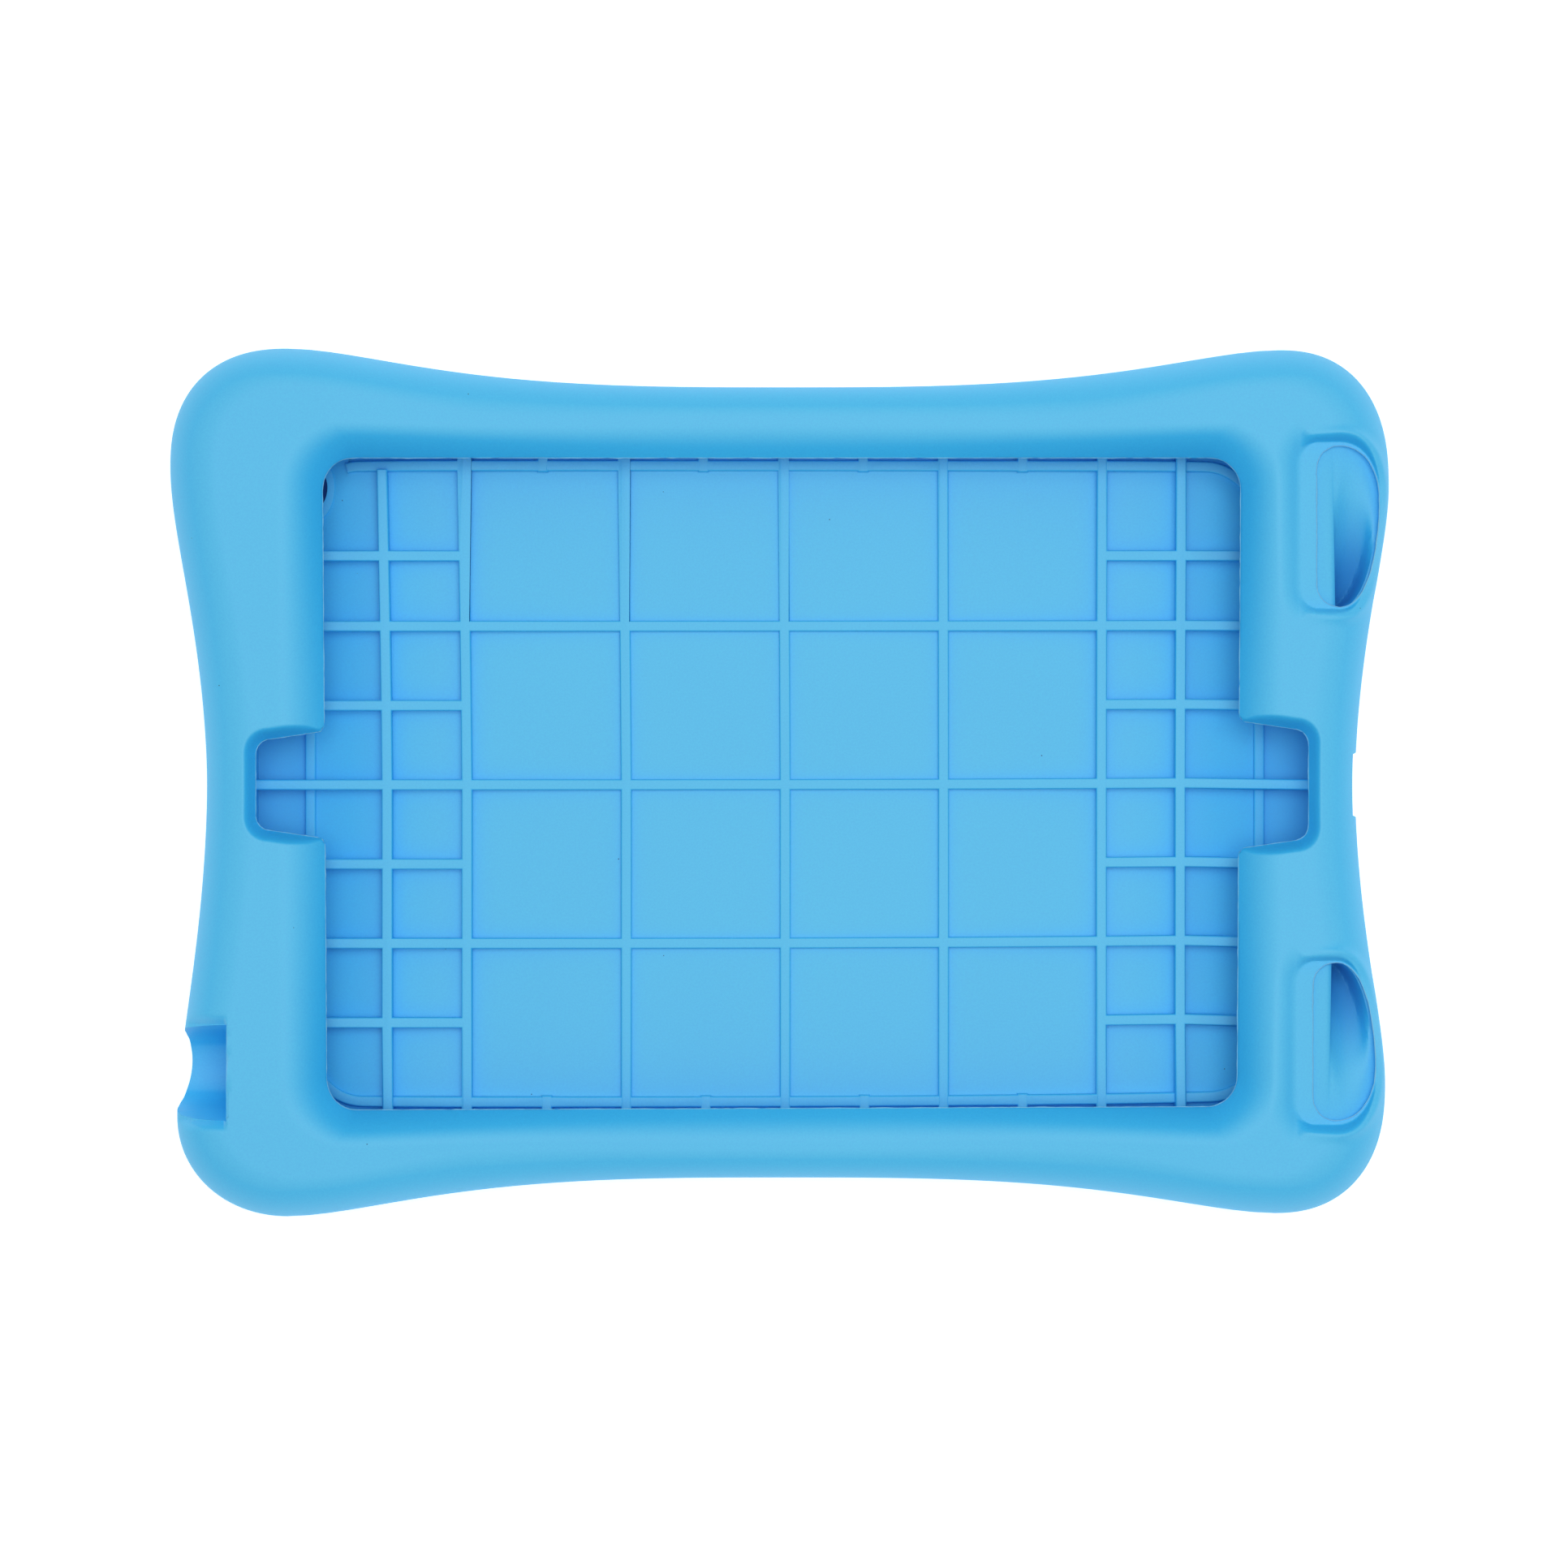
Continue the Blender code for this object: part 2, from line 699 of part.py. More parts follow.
def scoop_collar(scoop, cutters):
    """The raised rim that stands round the outer side of the scoop."""
    bm = bmesh.new()
    outline = scoop.outline(
        left=RIM_WIDTH, right=RIM_WIDTH, inner=RIM_WIDTH, outer=RECESS_OUTER + RIM_WIDTH
    )
    low = CROWN_CORNER * SIDE_LEVEL
    crest = CROWN_CORNER - RIM_DROP

    def crest_at(x):
        return crest - max(x - scoop.left, 0.0) * RIM_SLOPE

    add_prism(bm, outline, low, crest_at)
    top_edges = [
        edge
        for edge in bm.edges
        if all(vert.co.z > low + OVERCUT / 2 for vert in edge.verts)
        and len(edge.link_faces) == 2
    ]
    bmesh.ops.bevel(
        bm,
        geom=top_edges,
        offset=RIM_ROUND,
        offset_type="OFFSET",
        segments=RIM_SEGMENTS,
        profile=0.5,
        affect="EDGES",
        material=-1,
    )
    return cutter(bm, f"{scoop.name}_collar", cutters)


def recess_cut(scoop, cutters):
    """The shallow recess that leads into the scoop."""
    bm = bmesh.new()
    outline = scoop.outline(
        RECESS_MARGIN, RECESS_SIDE, RECESS_INNER, RECESS_OUTER, corner=RECESS_CORNER
    )
    start = scoop.left - RECESS_MARGIN
    level = CROWN_CORNER - RECESS_DEPTH

    def floor_at(x):
        return level - (x - start) * RECESS_SLOPE

    add_prism(bm, outline, floor_at, CLEAR_ABOVE)
    return cutter(bm, f"{scoop.name}_recess", cutters)


def mouth_cut(scoop, cutters):
    """The scoop's mouth, from the recess down to the ledge."""
    bm = bmesh.new()
    add_prism(bm, scoop.outline(), LEDGE_HEIGHT, CLEAR_ABOVE - OVERCUT / 2)
    return cutter(bm, f"{scoop.name}_mouth", cutters)


def groove_cut(scoop, cutters):
    """The round-bottomed groove beside the ledge, inside the mouth's outline."""
    bm = bmesh.new()
    outline = scoop.outline(left=-LEDGE_WIDTH, corner=GROOVE_CORNER)
    add_prism(bm, outline, 0.0, LEDGE_HEIGHT + OVERCUT / 2)
    groove = cutter(bm, f"{scoop.name}_groove", cutters)
    radius = (SCOOP_WIDTH - LEDGE_WIDTH) / 2 + RECESS_SIDE
    middle_x = (scoop.left + LEDGE_WIDTH + scoop.right) / 2
    bm = bmesh.new()
    turn = Matrix.Rotation(math.pi / 2, 4, "X")
    place = Matrix.Translation((middle_x, 0, GROOVE_BOTTOM + radius))
    bmesh.ops.create_cone(
        bm,
        cap_ends=True,
        segments=NARROW_SIDES,
        radius1=radius,
        radius2=radius,
        depth=2 * (HALF_WIDTH + OVERCUT),
        matrix=place @ turn,
    )
    for vert in bm.verts:
        if vert.co.z > GROOVE_BOTTOM + radius:
            vert.co.z += CLEAR_ABOVE
    trough = cutter(bm, f"{scoop.name}_trough", cutters)
    combine(groove, "INTERSECT", trough)
    return groove


def slot_cut(scoop, cutters):
    """The slot that lets sound from the tablet's end into the groove, under the ledge."""
    bm = bmesh.new()
    high = scoop.high - SLOT_MARGIN
    low = scoop.high - SCOOP_LENGTH + SLOT_MARGIN
    ends = sorted((low * scoop.corner.side_y, high * scoop.corner.side_y))
    bottom = PORT_LEVEL - SLOT_HEIGHT / 2
    inside = scoop.left + LEDGE_WIDTH + SLOT_OVERLAP
    low_corner = (HALF_LENGTH - OVERCUT, ends[0], bottom)
    add_bar(bm, low_corner, (inside, ends[1], bottom + SLOT_HEIGHT))
    return cutter(bm, f"{scoop.name}_slot", cutters)


def plug_cuts(cutters):
    """The U-shaped scoop for the plug's grip, and the round hole into the pocket."""
    middle_y = PLUG_FROM_SIDE - HALF_WIDTH
    bottom_centre = PLUG_SCOOP_BOTTOM + PLUG_SCOOP_RADIUS
    wall = -HALF_LENGTH - PLUG_SCOOP_WALL
    far = -HALF_LENGTH - LOWER_LEFT.reach_x - OVERCUT
    profile = [(PLUG_SCOOP_RADIUS, CLEAR_ABOVE - bottom_centre)]
    for step in range(2 * BEND_STEPS + 1):
        angle = -math.pi / 2 * step / BEND_STEPS
        profile.append((PLUG_SCOOP_RADIUS * math.cos(angle), PLUG_SCOOP_RADIUS * math.sin(angle)))
    profile.append((-PLUG_SCOOP_RADIUS, CLEAR_ABOVE - bottom_centre))
    bm = bmesh.new()
    base = bmesh.ops.contextual_create(
        bm,
        geom=[bm.verts.new((wall, middle_y + y, bottom_centre + z)) for y, z in profile],
    )
    grown = bmesh.ops.extrude_face_region(bm, geom=base["faces"], use_keep_orig=True)
    moved = [item for item in grown["geom"] if isinstance(item, bmesh.types.BMVert)]
    bmesh.ops.translate(bm, verts=moved, vec=(far - wall, 0, 0))
    scoop = cutter(bm, "plug_scoop", cutters)
    bm = bmesh.new()
    turn = Matrix.Rotation(math.pi / 2, 4, "Y")
    place = Matrix.Translation((wall + PLUG_SCOOP_WALL / 2, middle_y, PORT_LEVEL))
    bmesh.ops.create_cone(
        bm,
        cap_ends=True,
        segments=NARROW_SIDES,
        radius1=PLUG_HOLE_RADIUS,
        radius2=PLUG_HOLE_RADIUS,
        depth=PLUG_SCOOP_WALL + OVERCUT,
        matrix=place @ turn,
    )
    return [scoop, cutter(bm, "plug_hole", cutters)]


def port_cut(cutters):
    """The charging port's opening through the right side, flared on the outside."""
    half = PORT_WIDTH / 2
    outside = HALF_LENGTH + WAIST_RIGHT
    outline = [
        (HALF_LENGTH - OVERCUT, -half),
        (outside - PORT_FLARE, -half),
        (outside + OVERCUT / 3, -half - PORT_FLARE),
        (outside + OVERCUT / 3, half + PORT_FLARE),
        (outside - PORT_FLARE, half),
        (HALF_LENGTH - OVERCUT, half),
    ]
    bm = bmesh.new()
    half_height = TABLET_THICKNESS / 2 - PORT_MARGIN
    add_prism(bm, outline, PORT_LEVEL - half_height, PORT_LEVEL + half_height)
    return cutter(bm, "port_cut", cutters)


def silicone():
    """Soft blue silicone with a matte skin."""
    material = bpy.data.materials.new("silicone")
    material.use_nodes = True
    shader = material.node_tree.nodes["Principled BSDF"]
    shader.inputs["Base Color"].default_value = SILICONE_BLUE
    shader.inputs["Roughness"].default_value = SILICONE_ROUGHNESS
    shader.inputs["Metallic"].default_value = 0.0
    material.diffuse_color = SILICONE_BLUE
    return material


def outline_middle():
    """Middle of the box round the whole outline, which becomes the origin."""
    across = [station.outer for station in all_stations()]
    xs = [point.x for point in across]
    ys = [point.y for point in across]
    return Vector(((min(xs) + max(xs)) / 2, (min(ys) + max(ys)) / 2, 0))


def clear_scene():
    """Removes what the scene starts with."""
    for item in list(bpy.data.objects):
        bpy.data.objects.remove(item, do_unlink=True)


def new_collection(name):
    """A collection of this name in the scene."""
    made = bpy.data.collections.new(name)
    bpy.context.scene.collection.children.link(made)
    return made


def main():
    """Builds the shell from its body and cutters, and stands it on the origin."""
    clear_scene()
    parts = new_collection("shockproof_tablet_case")
    cutters = new_collection("cutters")
    shell = bumper_body(parts)
    scoops = (Scoop("upper_scoop", UPPER_RIGHT), Scoop("lower_scoop", LOWER_RIGHT))
    for scoop in scoops:
        combine(shell, "UNION", scoop_collar(scoop, cutters))
    combine(shell, "DIFFERENCE", window_cut(cutters))
    for side in (-1, 1):
        combine(shell, "DIFFERENCE", notch_cut(side, cutters))
    combine(shell, "DIFFERENCE", pocket_space(cutters))
    for scoop in scoops:
        for make_cut in (recess_cut, mouth_cut, groove_cut, slot_cut):
            combine(shell, "DIFFERENCE", make_cut(scoop, cutters))
    for cut in plug_cuts(cutters):
        combine(shell, "DIFFERENCE", cut)
    combine(shell, "DIFFERENCE", port_cut(cutters))
    camera = camera_place()
    hole = upright_cylinder("camera_hole", camera, CAMERA_RADIUS, -OVERCUT, POCKET_TOP, cutters)
    combine(shell, "DIFFERENCE", hole)
    shell.data.materials.append(silicone())
    place = -outline_middle()
    for item in (*parts.objects, *cutters.objects):
        item.location = place


main()
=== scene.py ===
"""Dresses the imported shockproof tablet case: one moulding of soft blue silicone, seen from above.

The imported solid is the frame. This script models the same moulding finely, with its rolled edges,
soft recesses, thin parting lines and matte grain, and sets it in a pale studio. The plan is laid out
round the middle of the tablet that the case holds, in metres, and is moved to the frame at the end.
"""

import logging
import math
import random
from collections.abc import Callable, Iterable
from dataclasses import dataclass, field
from enum import Enum

import bmesh
import bpy
import numpy as np
from mathutils import Matrix, Vector
from mathutils.bvhtree import BVHTree


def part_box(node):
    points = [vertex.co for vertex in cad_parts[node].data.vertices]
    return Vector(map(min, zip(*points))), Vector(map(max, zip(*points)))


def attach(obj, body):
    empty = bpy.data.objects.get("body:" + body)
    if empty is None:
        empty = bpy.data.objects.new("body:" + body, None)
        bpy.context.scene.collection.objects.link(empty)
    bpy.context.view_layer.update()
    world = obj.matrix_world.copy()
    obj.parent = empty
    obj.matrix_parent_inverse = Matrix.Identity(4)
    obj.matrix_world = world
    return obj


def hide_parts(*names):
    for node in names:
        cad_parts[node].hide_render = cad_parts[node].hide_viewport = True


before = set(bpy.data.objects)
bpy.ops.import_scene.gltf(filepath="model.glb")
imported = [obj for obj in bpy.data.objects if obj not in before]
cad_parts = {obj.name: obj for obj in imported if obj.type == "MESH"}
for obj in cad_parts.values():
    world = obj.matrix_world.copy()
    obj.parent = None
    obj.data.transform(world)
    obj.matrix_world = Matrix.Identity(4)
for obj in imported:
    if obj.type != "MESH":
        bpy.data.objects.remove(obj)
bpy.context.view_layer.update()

Plan = tuple[float, float]
Colour = tuple[float, float, float]
Values = float | np.ndarray
log = logging.getLogger("tablet_case")


class Operation(Enum):
    """How a helper solid changes the moulding."""

    CUT = "DIFFERENCE"
    JOIN = "UNION"


class Side(Enum):
    """Which way a feature lies from the middle of the tablet."""

    POSITIVE = 1
    NEGATIVE = -1


@dataclass(frozen=True)
class Tablet:
    """The tablet that the pocket holds."""

    length: float = 0.2000
    width: float = 0.1347
    thickness: float = 0.0072
    corner: float = 0.0100

    @property
    def half_length(self) -> float:
        """Half of the length."""
        return self.length / 2

    @property
    def half_width(self) -> float:
        """Half of the width."""
        return self.width / 2


@dataclass(frozen=True)
class Section:
    """Heights and widths of the bumper's section, and of the back under it."""

    lip_left: float = 0.0133
    lip_right: float = 0.0145
    lip_upper: float = 0.0063
    lip_lower: float = 0.0066
    lip_edge: float = 0.0009
    window_corner: float = 0.0058
    waist_left: float = 0.0089
    waist_right: float = 0.0075
    waist_upper: float = 0.0075
    waist_lower: float = 0.0066
    crown_corner: float = 0.0210
    crown_short: float = 0.0192
    crown_long: float = 0.0180
    side_level: float = 0.46
    outer_round: float = 0.0100
    lower_round: float = 0.0075
    slope_long: float = 0.0064
    slope_short: float = 0.0080
    plateau_share: float = 0.14
    back_wall: float = 0.0024
    arch_rise: float = 0.0031
    arch_power: float = 2.4
    end_pad: float = 0.0120
    short_powers: Plan = (1.8, 5.0)
    long_powers: Plan = (3.0, 8.0)


TABLET = Tablet()
SECTION = Section()
RIB_OVER_ARCH = 0.0010
RIB_TOP = SECTION.back_wall + SECTION.arch_rise + RIB_OVER_ARCH
POCKET_TOP = RIB_TOP + TABLET.thickness
PORT_LEVEL = RIB_TOP + TABLET.thickness / 2
LIP_TOP = POCKET_TOP + SECTION.lip_edge
OVERCUT = 0.0030
SKY = SECTION.crown_corner + 2 * OVERCUT
TINY = 1e-7
WELD = 10 * TINY
ARC_SAMPLES = 30
MILLIMETRE = 0.001
SEED = 8
# Mesh layer of painted sheen, paler on open surfaces that face up or outward.
SHEEN_LAYER = "painted_sheen"
# Mesh layer of painted shade, in the scoops' grooves and towards the pocket's ends.
SHADE_LAYER = "painted_depth_shade"


def blend(start: Values, end: Values, share: Values) -> Values:
    """The value at this share of the way from start to end."""
    return start + (end - start) * share


def smooth(share: Values) -> Values:
    """A soft step: 0 below 0, 1 above 1, level at both ends."""
    held = np.clip(share, 0.0, 1.0)
    return held * held * (3 - 2 * held)


def soft_min(first: Values, second: Values, radius: Values) -> Values:
    """The lower of two heights, with the crease between them rounded.

    Args:
        first: one surface's heights.
        second: the other surface's heights.
        radius: height difference within which the two melt together.

    Returns:
        The rounded lower envelope.
    """
    near = np.maximum(radius - np.abs(first - second), 0.0) / radius
    return np.minimum(first, second) - near * near * radius / 4


def soft_max(first: Values, second: Values, radius: Values) -> Values:
    """The higher of two heights, with the crease between them rounded."""
    return -soft_min(-first, -second, radius)


def side_rise(share: float, powers: Plan) -> float:
    """How far a side has swelled: 0 at its waist, 1 at the corner, level at both."""
    at_waist, at_corner = powers
    ratio = at_waist / at_corner
    return share**at_waist * (1 + ratio - ratio * share**at_corner)


def back_height(x: float) -> float:
    """Underside of the back at x, level over both end pads and arched between them."""
    share = min(abs(x) / (TABLET.half_length - SECTION.end_pad), 1.0)
    return SECTION.arch_rise * (1 - share**SECTION.arch_power)


def distance_from(outline: list[Plan], points: np.ndarray) -> np.ndarray:
    """Distance of points from a closed outline in the plan, negative inside it.

    Args:
        outline: the outline's corners in order.
        points: plan positions, one row each.

    Returns:
        One distance for each point.
    """
    start = np.asarray(outline)
    end = np.roll(start, -1, axis=0)
    run = end - start
    away = points[:, None, :] - start[None]
    share = np.clip((away * run).sum(-1) / (run * run).sum(-1), 0.0, 1.0)
    nearest = np.linalg.norm(away - share[..., None] * run, axis=-1).min(axis=1)
    above_start = points[:, None, 1] >= start[None, :, 1]
    above_end = points[:, None, 1] >= end[None, :, 1]
    rise = np.where(np.abs(run[:, 1]) < TINY, TINY, run[:, 1])
    cross = start[:, 0] + (points[:, None, 1] - start[:, 1]) * run[:, 0] / rise
    inside = ((above_start != above_end) & (points[:, None, 0] < cross)).sum(axis=1) % 2 == 1
    return np.where(inside, -nearest, nearest)


def read_points(solid: bpy.types.Object) -> np.ndarray:
    """The points of a solid's mesh, one row each."""
    flat = np.empty(len(solid.data.vertices) * 3)
    solid.data.vertices.foreach_get("co", flat)
    return flat.reshape(-1, 3)


def write_points(solid: bpy.types.Object, points: np.ndarray) -> None:
    """Puts changed points back in a solid's mesh."""
    solid.data.vertices.foreach_set("co", points.ravel())
    solid.data.update()


@dataclass
class Workshop:
    """Makes helper solids and combines them. Its collection is emptied at the end."""

    bench: bpy.types.Collection = field(init=False)

    def __post_init__(self) -> None:
        """Puts an empty bench in the scene."""
        self.bench = bpy.data.collections.new("bench")
        bpy.context.scene.collection.children.link(self.bench)

    def solid(self, bm: bmesh.types.BMesh, name: str) -> bpy.types.Object:
        """Turns a closed bmesh into an object whose faces point out.

        Args:
            bm: the shape, freed afterwards.
            name: the object's name.

        Returns:
            The new object, on the bench.
        """
        bmesh.ops.remove_doubles(bm, verts=bm.verts, dist=WELD)
        bmesh.ops.recalc_face_normals(bm, faces=bm.faces)
        mesh = bpy.data.meshes.new(name)
        bm.to_mesh(mesh)
        bm.free()
        made = bpy.data.objects.new(name, mesh)
        self.bench.objects.link(made)
        return made

    def combine(self, target: bpy.types.Object, operation: Operation, tool: bpy.types.Object) -> None:
        """Applies one Boolean to the target and removes the tool.

        Args:
            target: the object that changes.
            operation: cut or join.
            tool: the helper solid.
        """
        modifier = target.modifiers.new(tool.name, "BOOLEAN")
        modifier.operation = operation.value
        modifier.solver = "MANIFOLD"
        modifier.object = tool
        graph = bpy.context.evaluated_depsgraph_get()
        made = bpy.data.meshes.new_from_object(target.evaluated_get(graph))
        target.modifiers.clear()
        old = target.data
        target.data = made
        bpy.data.meshes.remove(old)
        tool_mesh = tool.data
        bpy.data.objects.remove(tool)
        bpy.data.meshes.remove(tool_mesh)

    def close(self) -> None:
        """Takes the empty bench away."""
        bpy.data.collections.remove(self.bench)


def quarter_turn(steps: int) -> list[Plan]:
    """Cosine and sine at even steps through a quarter turn, both ends included."""
    angles = [math.pi / 2 * step / steps for step in range(steps + 1)]
    return [(math.cos(angle), math.sin(angle)) for angle in angles]


def rounded_box(low: Plan, high: Plan, radius: float, steps: int = 14) -> list[Plan]:
    """Outline of a rectangle with round corners.

    Args:
        low: lowest x and y.
        high: highest x and y.
        radius: radius of each corner.
        steps: edges in each corner.

    Returns:
        The outline's points, anticlockwise.
    """
    points = []
    corners = ((high[0], high[1]), (low[0], high[1]), (low[0], low[1]), (high[0], low[1]))
    middle = ((low[0] + high[0]) / 2, (low[1] + high[1]) / 2)
    for turn, (corner_x, corner_y) in enumerate(corners):
        centre_x = corner_x - math.copysign(radius, corner_x - middle[0])
        centre_y = corner_y - math.copysign(radius, corner_y - middle[1])
        for step in range(steps + 1):
            angle = math.pi / 2 * (turn + step / steps)
            points.append((centre_x + radius * math.cos(angle), centre_y + radius * math.sin(angle)))
    return points


def centred_box(half: Plan, radius: float) -> list[Plan]:
    """Outline of a rectangle with round corners, round the middle of the tablet."""
    return rounded_box((-half[0], -half[1]), half, radius)


def bent_grid(
    bm: bmesh.types.BMesh, columns: int, rows: int, place: Callable[[int, int], Iterable[float]]
) -> None:
    """Adds a flat grid and bends it to a surface.

    Args:
        bm: the mesh that gets the grid.
        columns: number of cells one way.
        rows: number of cells the other way.
        place: gives the point for a column and a row.
    """
    made = bmesh.ops.create_grid(bm, x_segments=columns, y_segments=rows, size=1.0)["verts"]
    for vert in made:
        column = round((vert.co.x + 1) / 2 * columns)
        row = round((vert.co.y + 1) / 2 * rows)
        vert.co = place(column, row)


def grow(bm: bmesh.types.BMesh, faces: list[bmesh.types.BMFace], way: Iterable[float]) -> None:
    """Makes a solid of flat faces: a copy of them moved this way, and walls between the two."""
    grown = bmesh.ops.extrude_face_region(bm, geom=faces, use_keep_orig=True)["geom"]
    moved = [item for item in grown if isinstance(item, bmesh.types.BMVert)]
    bmesh.ops.translate(bm, verts=moved, vec=way)


def add_prism(bm: bmesh.types.BMesh, outline: list[Plan], low: float, high: float) -> None:
    """Adds an upright prism between two heights.

    Args:
        bm: the mesh that gets the prism.
        outline: its plan.
        low: height of its base.
        high: height of its top.
    """
    base = bmesh.ops.contextual_create(bm, geom=[bm.verts.new((x, y, low)) for x, y in outline])
    grow(bm, base["faces"], (0, 0, high - low))


def add_round(
    bm: bmesh.types.BMesh, place: Matrix, radii: Plan, depth: float, segments: int = 96
) -> None:
    """Adds a cylinder or a cut-off cone.

    Args:
        bm: the mesh that gets it.
        place: where its middle lies, and how its axis is turned from the vertical.
        radii: radius at its base and at its top.
        depth: its length.
        segments: edges round it.
    """
    lower, upper = radii
    bmesh.ops.create_cone(
        bm, cap_ends=True, segments=segments, radius1=lower, radius2=upper, depth=depth, matrix=place
    )


def soften(bm: bmesh.types.BMesh, edges: list[bmesh.types.BMEdge], radius: float) -> None:
    """Rounds edges over with three segments."""
    shape = {"offset_type": "OFFSET", "segments": 3, "profile": 0.5, "affect": "EDGES"}
    bmesh.ops.bevel(bm, geom=edges, offset=radius, material=-1, **shape)


def fold(bm: bmesh.types.BMesh, lines: Iterable[float]) -> None:
    """Adds an edge round the mesh at each of these x, where its faces will bend."""
    for x in lines:
        everything = bm.verts[:] + bm.edges[:] + bm.faces[:]
        bmesh.ops.bisect_plane(bm, geom=everything, dist=WELD, plane_co=(x, 0, 0), plane_no=(1, 0, 0))


@dataclass(frozen=True)
class PaddedCorner:
    """One padded corner: how far it stands out past the tablet, and where it is widest."""

    side_x: Side
    side_y: Side
    reach_x: float
    reach_y: float
    inset_x: float
    inset_y: float
    fullness: float

    @property
    def waist(self) -> Plan:
        """Half sizes of the outline at the middle of the short and the long side."""
        wall_x = SECTION.waist_right if self.side_x is Side.POSITIVE else SECTION.waist_left
        wall_y = SECTION.waist_upper if self.side_y is Side.POSITIVE else SECTION.waist_lower
        return TABLET.half_length + wall_x, TABLET.half_width + wall_y

    @property
    def window(self) -> Plan:
        """Half sizes of the window on this corner's sides."""
        lip_x = SECTION.lip_right if self.side_x is Side.POSITIVE else SECTION.lip_left
        lip_y = SECTION.lip_upper if self.side_y is Side.POSITIVE else SECTION.lip_lower
        return TABLET.half_length - lip_x, TABLET.half_width - lip_y

    @property
    def end(self) -> Plan:
        """Farthest reach of the outline in X and in Y."""
        return TABLET.half_length + self.reach_x, TABLET.half_width + self.reach_y

    @property
    def widest(self) -> Plan:
        """Where along X the outline is widest in Y, and the other way round."""
        return TABLET.half_length - self.inset_x, TABLET.half_width - self.inset_y

    def outer_arc(self, steps: int) -> list[Plan]:
        """Points along the corner's outer curve, evenly spaced.

        Args:
            steps: number of spaces.

        Returns:
            The points, from the short side to the long side.
        """
        angles = np.linspace(0, math.pi / 2, ARC_SAMPLES * steps)
        power = 2 / self.fullness
        x = blend(self.widest[0], self.end[0], np.clip(np.cos(angles), 0, 1) ** power)
        y = blend(self.widest[1], self.end[1], np.clip(np.sin(angles), 0, 1) ** power)
        run = np.concatenate([[0.0], np.cumsum(np.hypot(np.diff(x), np.diff(y)))])
        even = np.linspace(0, run[-1], steps + 1)
        return list(zip(np.interp(even, run, x), np.interp(even, run, y)))


UPPER_RIGHT = PaddedCorner(Side.POSITIVE, Side.POSITIVE, 0.0137, 0.0145, 0.0070, 0.0104, 2.35)
UPPER_LEFT = PaddedCorner(Side.NEGATIVE, Side.POSITIVE, 0.0157, 0.0148, 0.0064, 0.0075, 2.35)
LOWER_LEFT = PaddedCorner(Side.NEGATIVE, Side.NEGATIVE, 0.0144, 0.0139, 0.0064, 0.0050, 2.05)
LOWER_RIGHT = PaddedCorner(Side.POSITIVE, Side.NEGATIVE, 0.0130, 0.0133, 0.0078, 0.0104, 2.30)
CORNERS = (UPPER_RIGHT, UPPER_LEFT, LOWER_LEFT, LOWER_RIGHT)


@dataclass(frozen=True)
class Station:
    """One cross-section of the bumper, from the outline in to the window's edge."""

    outer: Plan
    inner: Plan
    crown: float
    slope: float


@dataclass
class LipNotch:
    """A notch in the lip at one end of the window, with drafted walls that roll over on top."""

    name: str
    side: Side
    depth: float
    mouth: float
    taper: float = 0.0013
    corner: float = 0.0028
    flare: float = 0.0014
    steepness: float = 3.0
    roll: float = 0.0020
    roll_share: float = 0.8
    fine_inside: float = 0.0006
    fine_outside: float = 0.0032

    @property
    def edge(self) -> float:
        """Distance of the window's edge from the middle on this side."""
        lip = SECTION.lip_right if self.side is Side.POSITIVE else SECTION.lip_left
        return TABLET.half_length - lip

    def outline(self, steps: int = 8) -> list[Plan]:
        """The notch's plan at the lip's edge, reaching a little into the window."""
        end_x = self.edge + self.depth - self.corner
        end_y = self.mouth - self.taper - self.corner
        turn, flare, corner = quarter_turn(steps), self.flare, self.corner
        upper = [(self.edge - OVERCUT, self.mouth + flare)]
        upper += [(self.edge + flare * (1 - run), self.mouth + flare * (1 - rise)) for run, rise in turn]
        upper += [(end_x + corner * run, end_y + corner * rise) for run, rise in reversed(turn)]
        both = upper + [(x, -y) for x, y in reversed(upper)]
        return [(self.side.value * x, y) for x, y in both]

    def band(self, points: np.ndarray) -> np.ndarray:
        """Which of the skin's points lie by the notch's walls."""
        near = self.near(points, 2 * OVERCUT)
        away = distance_from(self.outline(), points[near, :2])
        near[near] = (away > -self.fine_inside) & (away < self.fine_outside)
        return near

    def near(self, points: np.ndarray, margin: float) -> np.ndarray:
        """Which points lie within a margin of the notch, on the bumper's upper side."""
        outward = self.side.value * points[:, 0]
        return (
            (outward > self.edge - OVERCUT)
            & (outward < self.edge + self.depth + margin)
            & (np.abs(points[:, 1]) < self.mouth + margin)
            & (points[:, 2] > LIP_TOP - OVERCUT)
        )

    def lower(self, points: np.ndarray) -> None:
        """Sinks the bumper's skin to the notch's walls.

        Args:
            points: the skin's points, changed in place.
        """
        near = self.near(points, 3 * OVERCUT)
        spot = points[near]
        away = distance_from(self.outline(), spot[:, :2])
        wall = LIP_TOP + np.maximum(away, 0.0) * self.steepness
        room = np.maximum(spot[:, 2] - LIP_TOP, TINY)
        points[near, 2] = soft_min(spot[:, 2], wall, np.minimum(self.roll, self.roll_share * room))

    def cutter(self, workshop: Workshop) -> bpy.types.Object:
        """The solid that opens the notch through the lip."""
        bm = bmesh.new()
        add_prism(bm, self.outline(), PORT_LEVEL, SKY)
        return workshop.solid(bm, self.name)


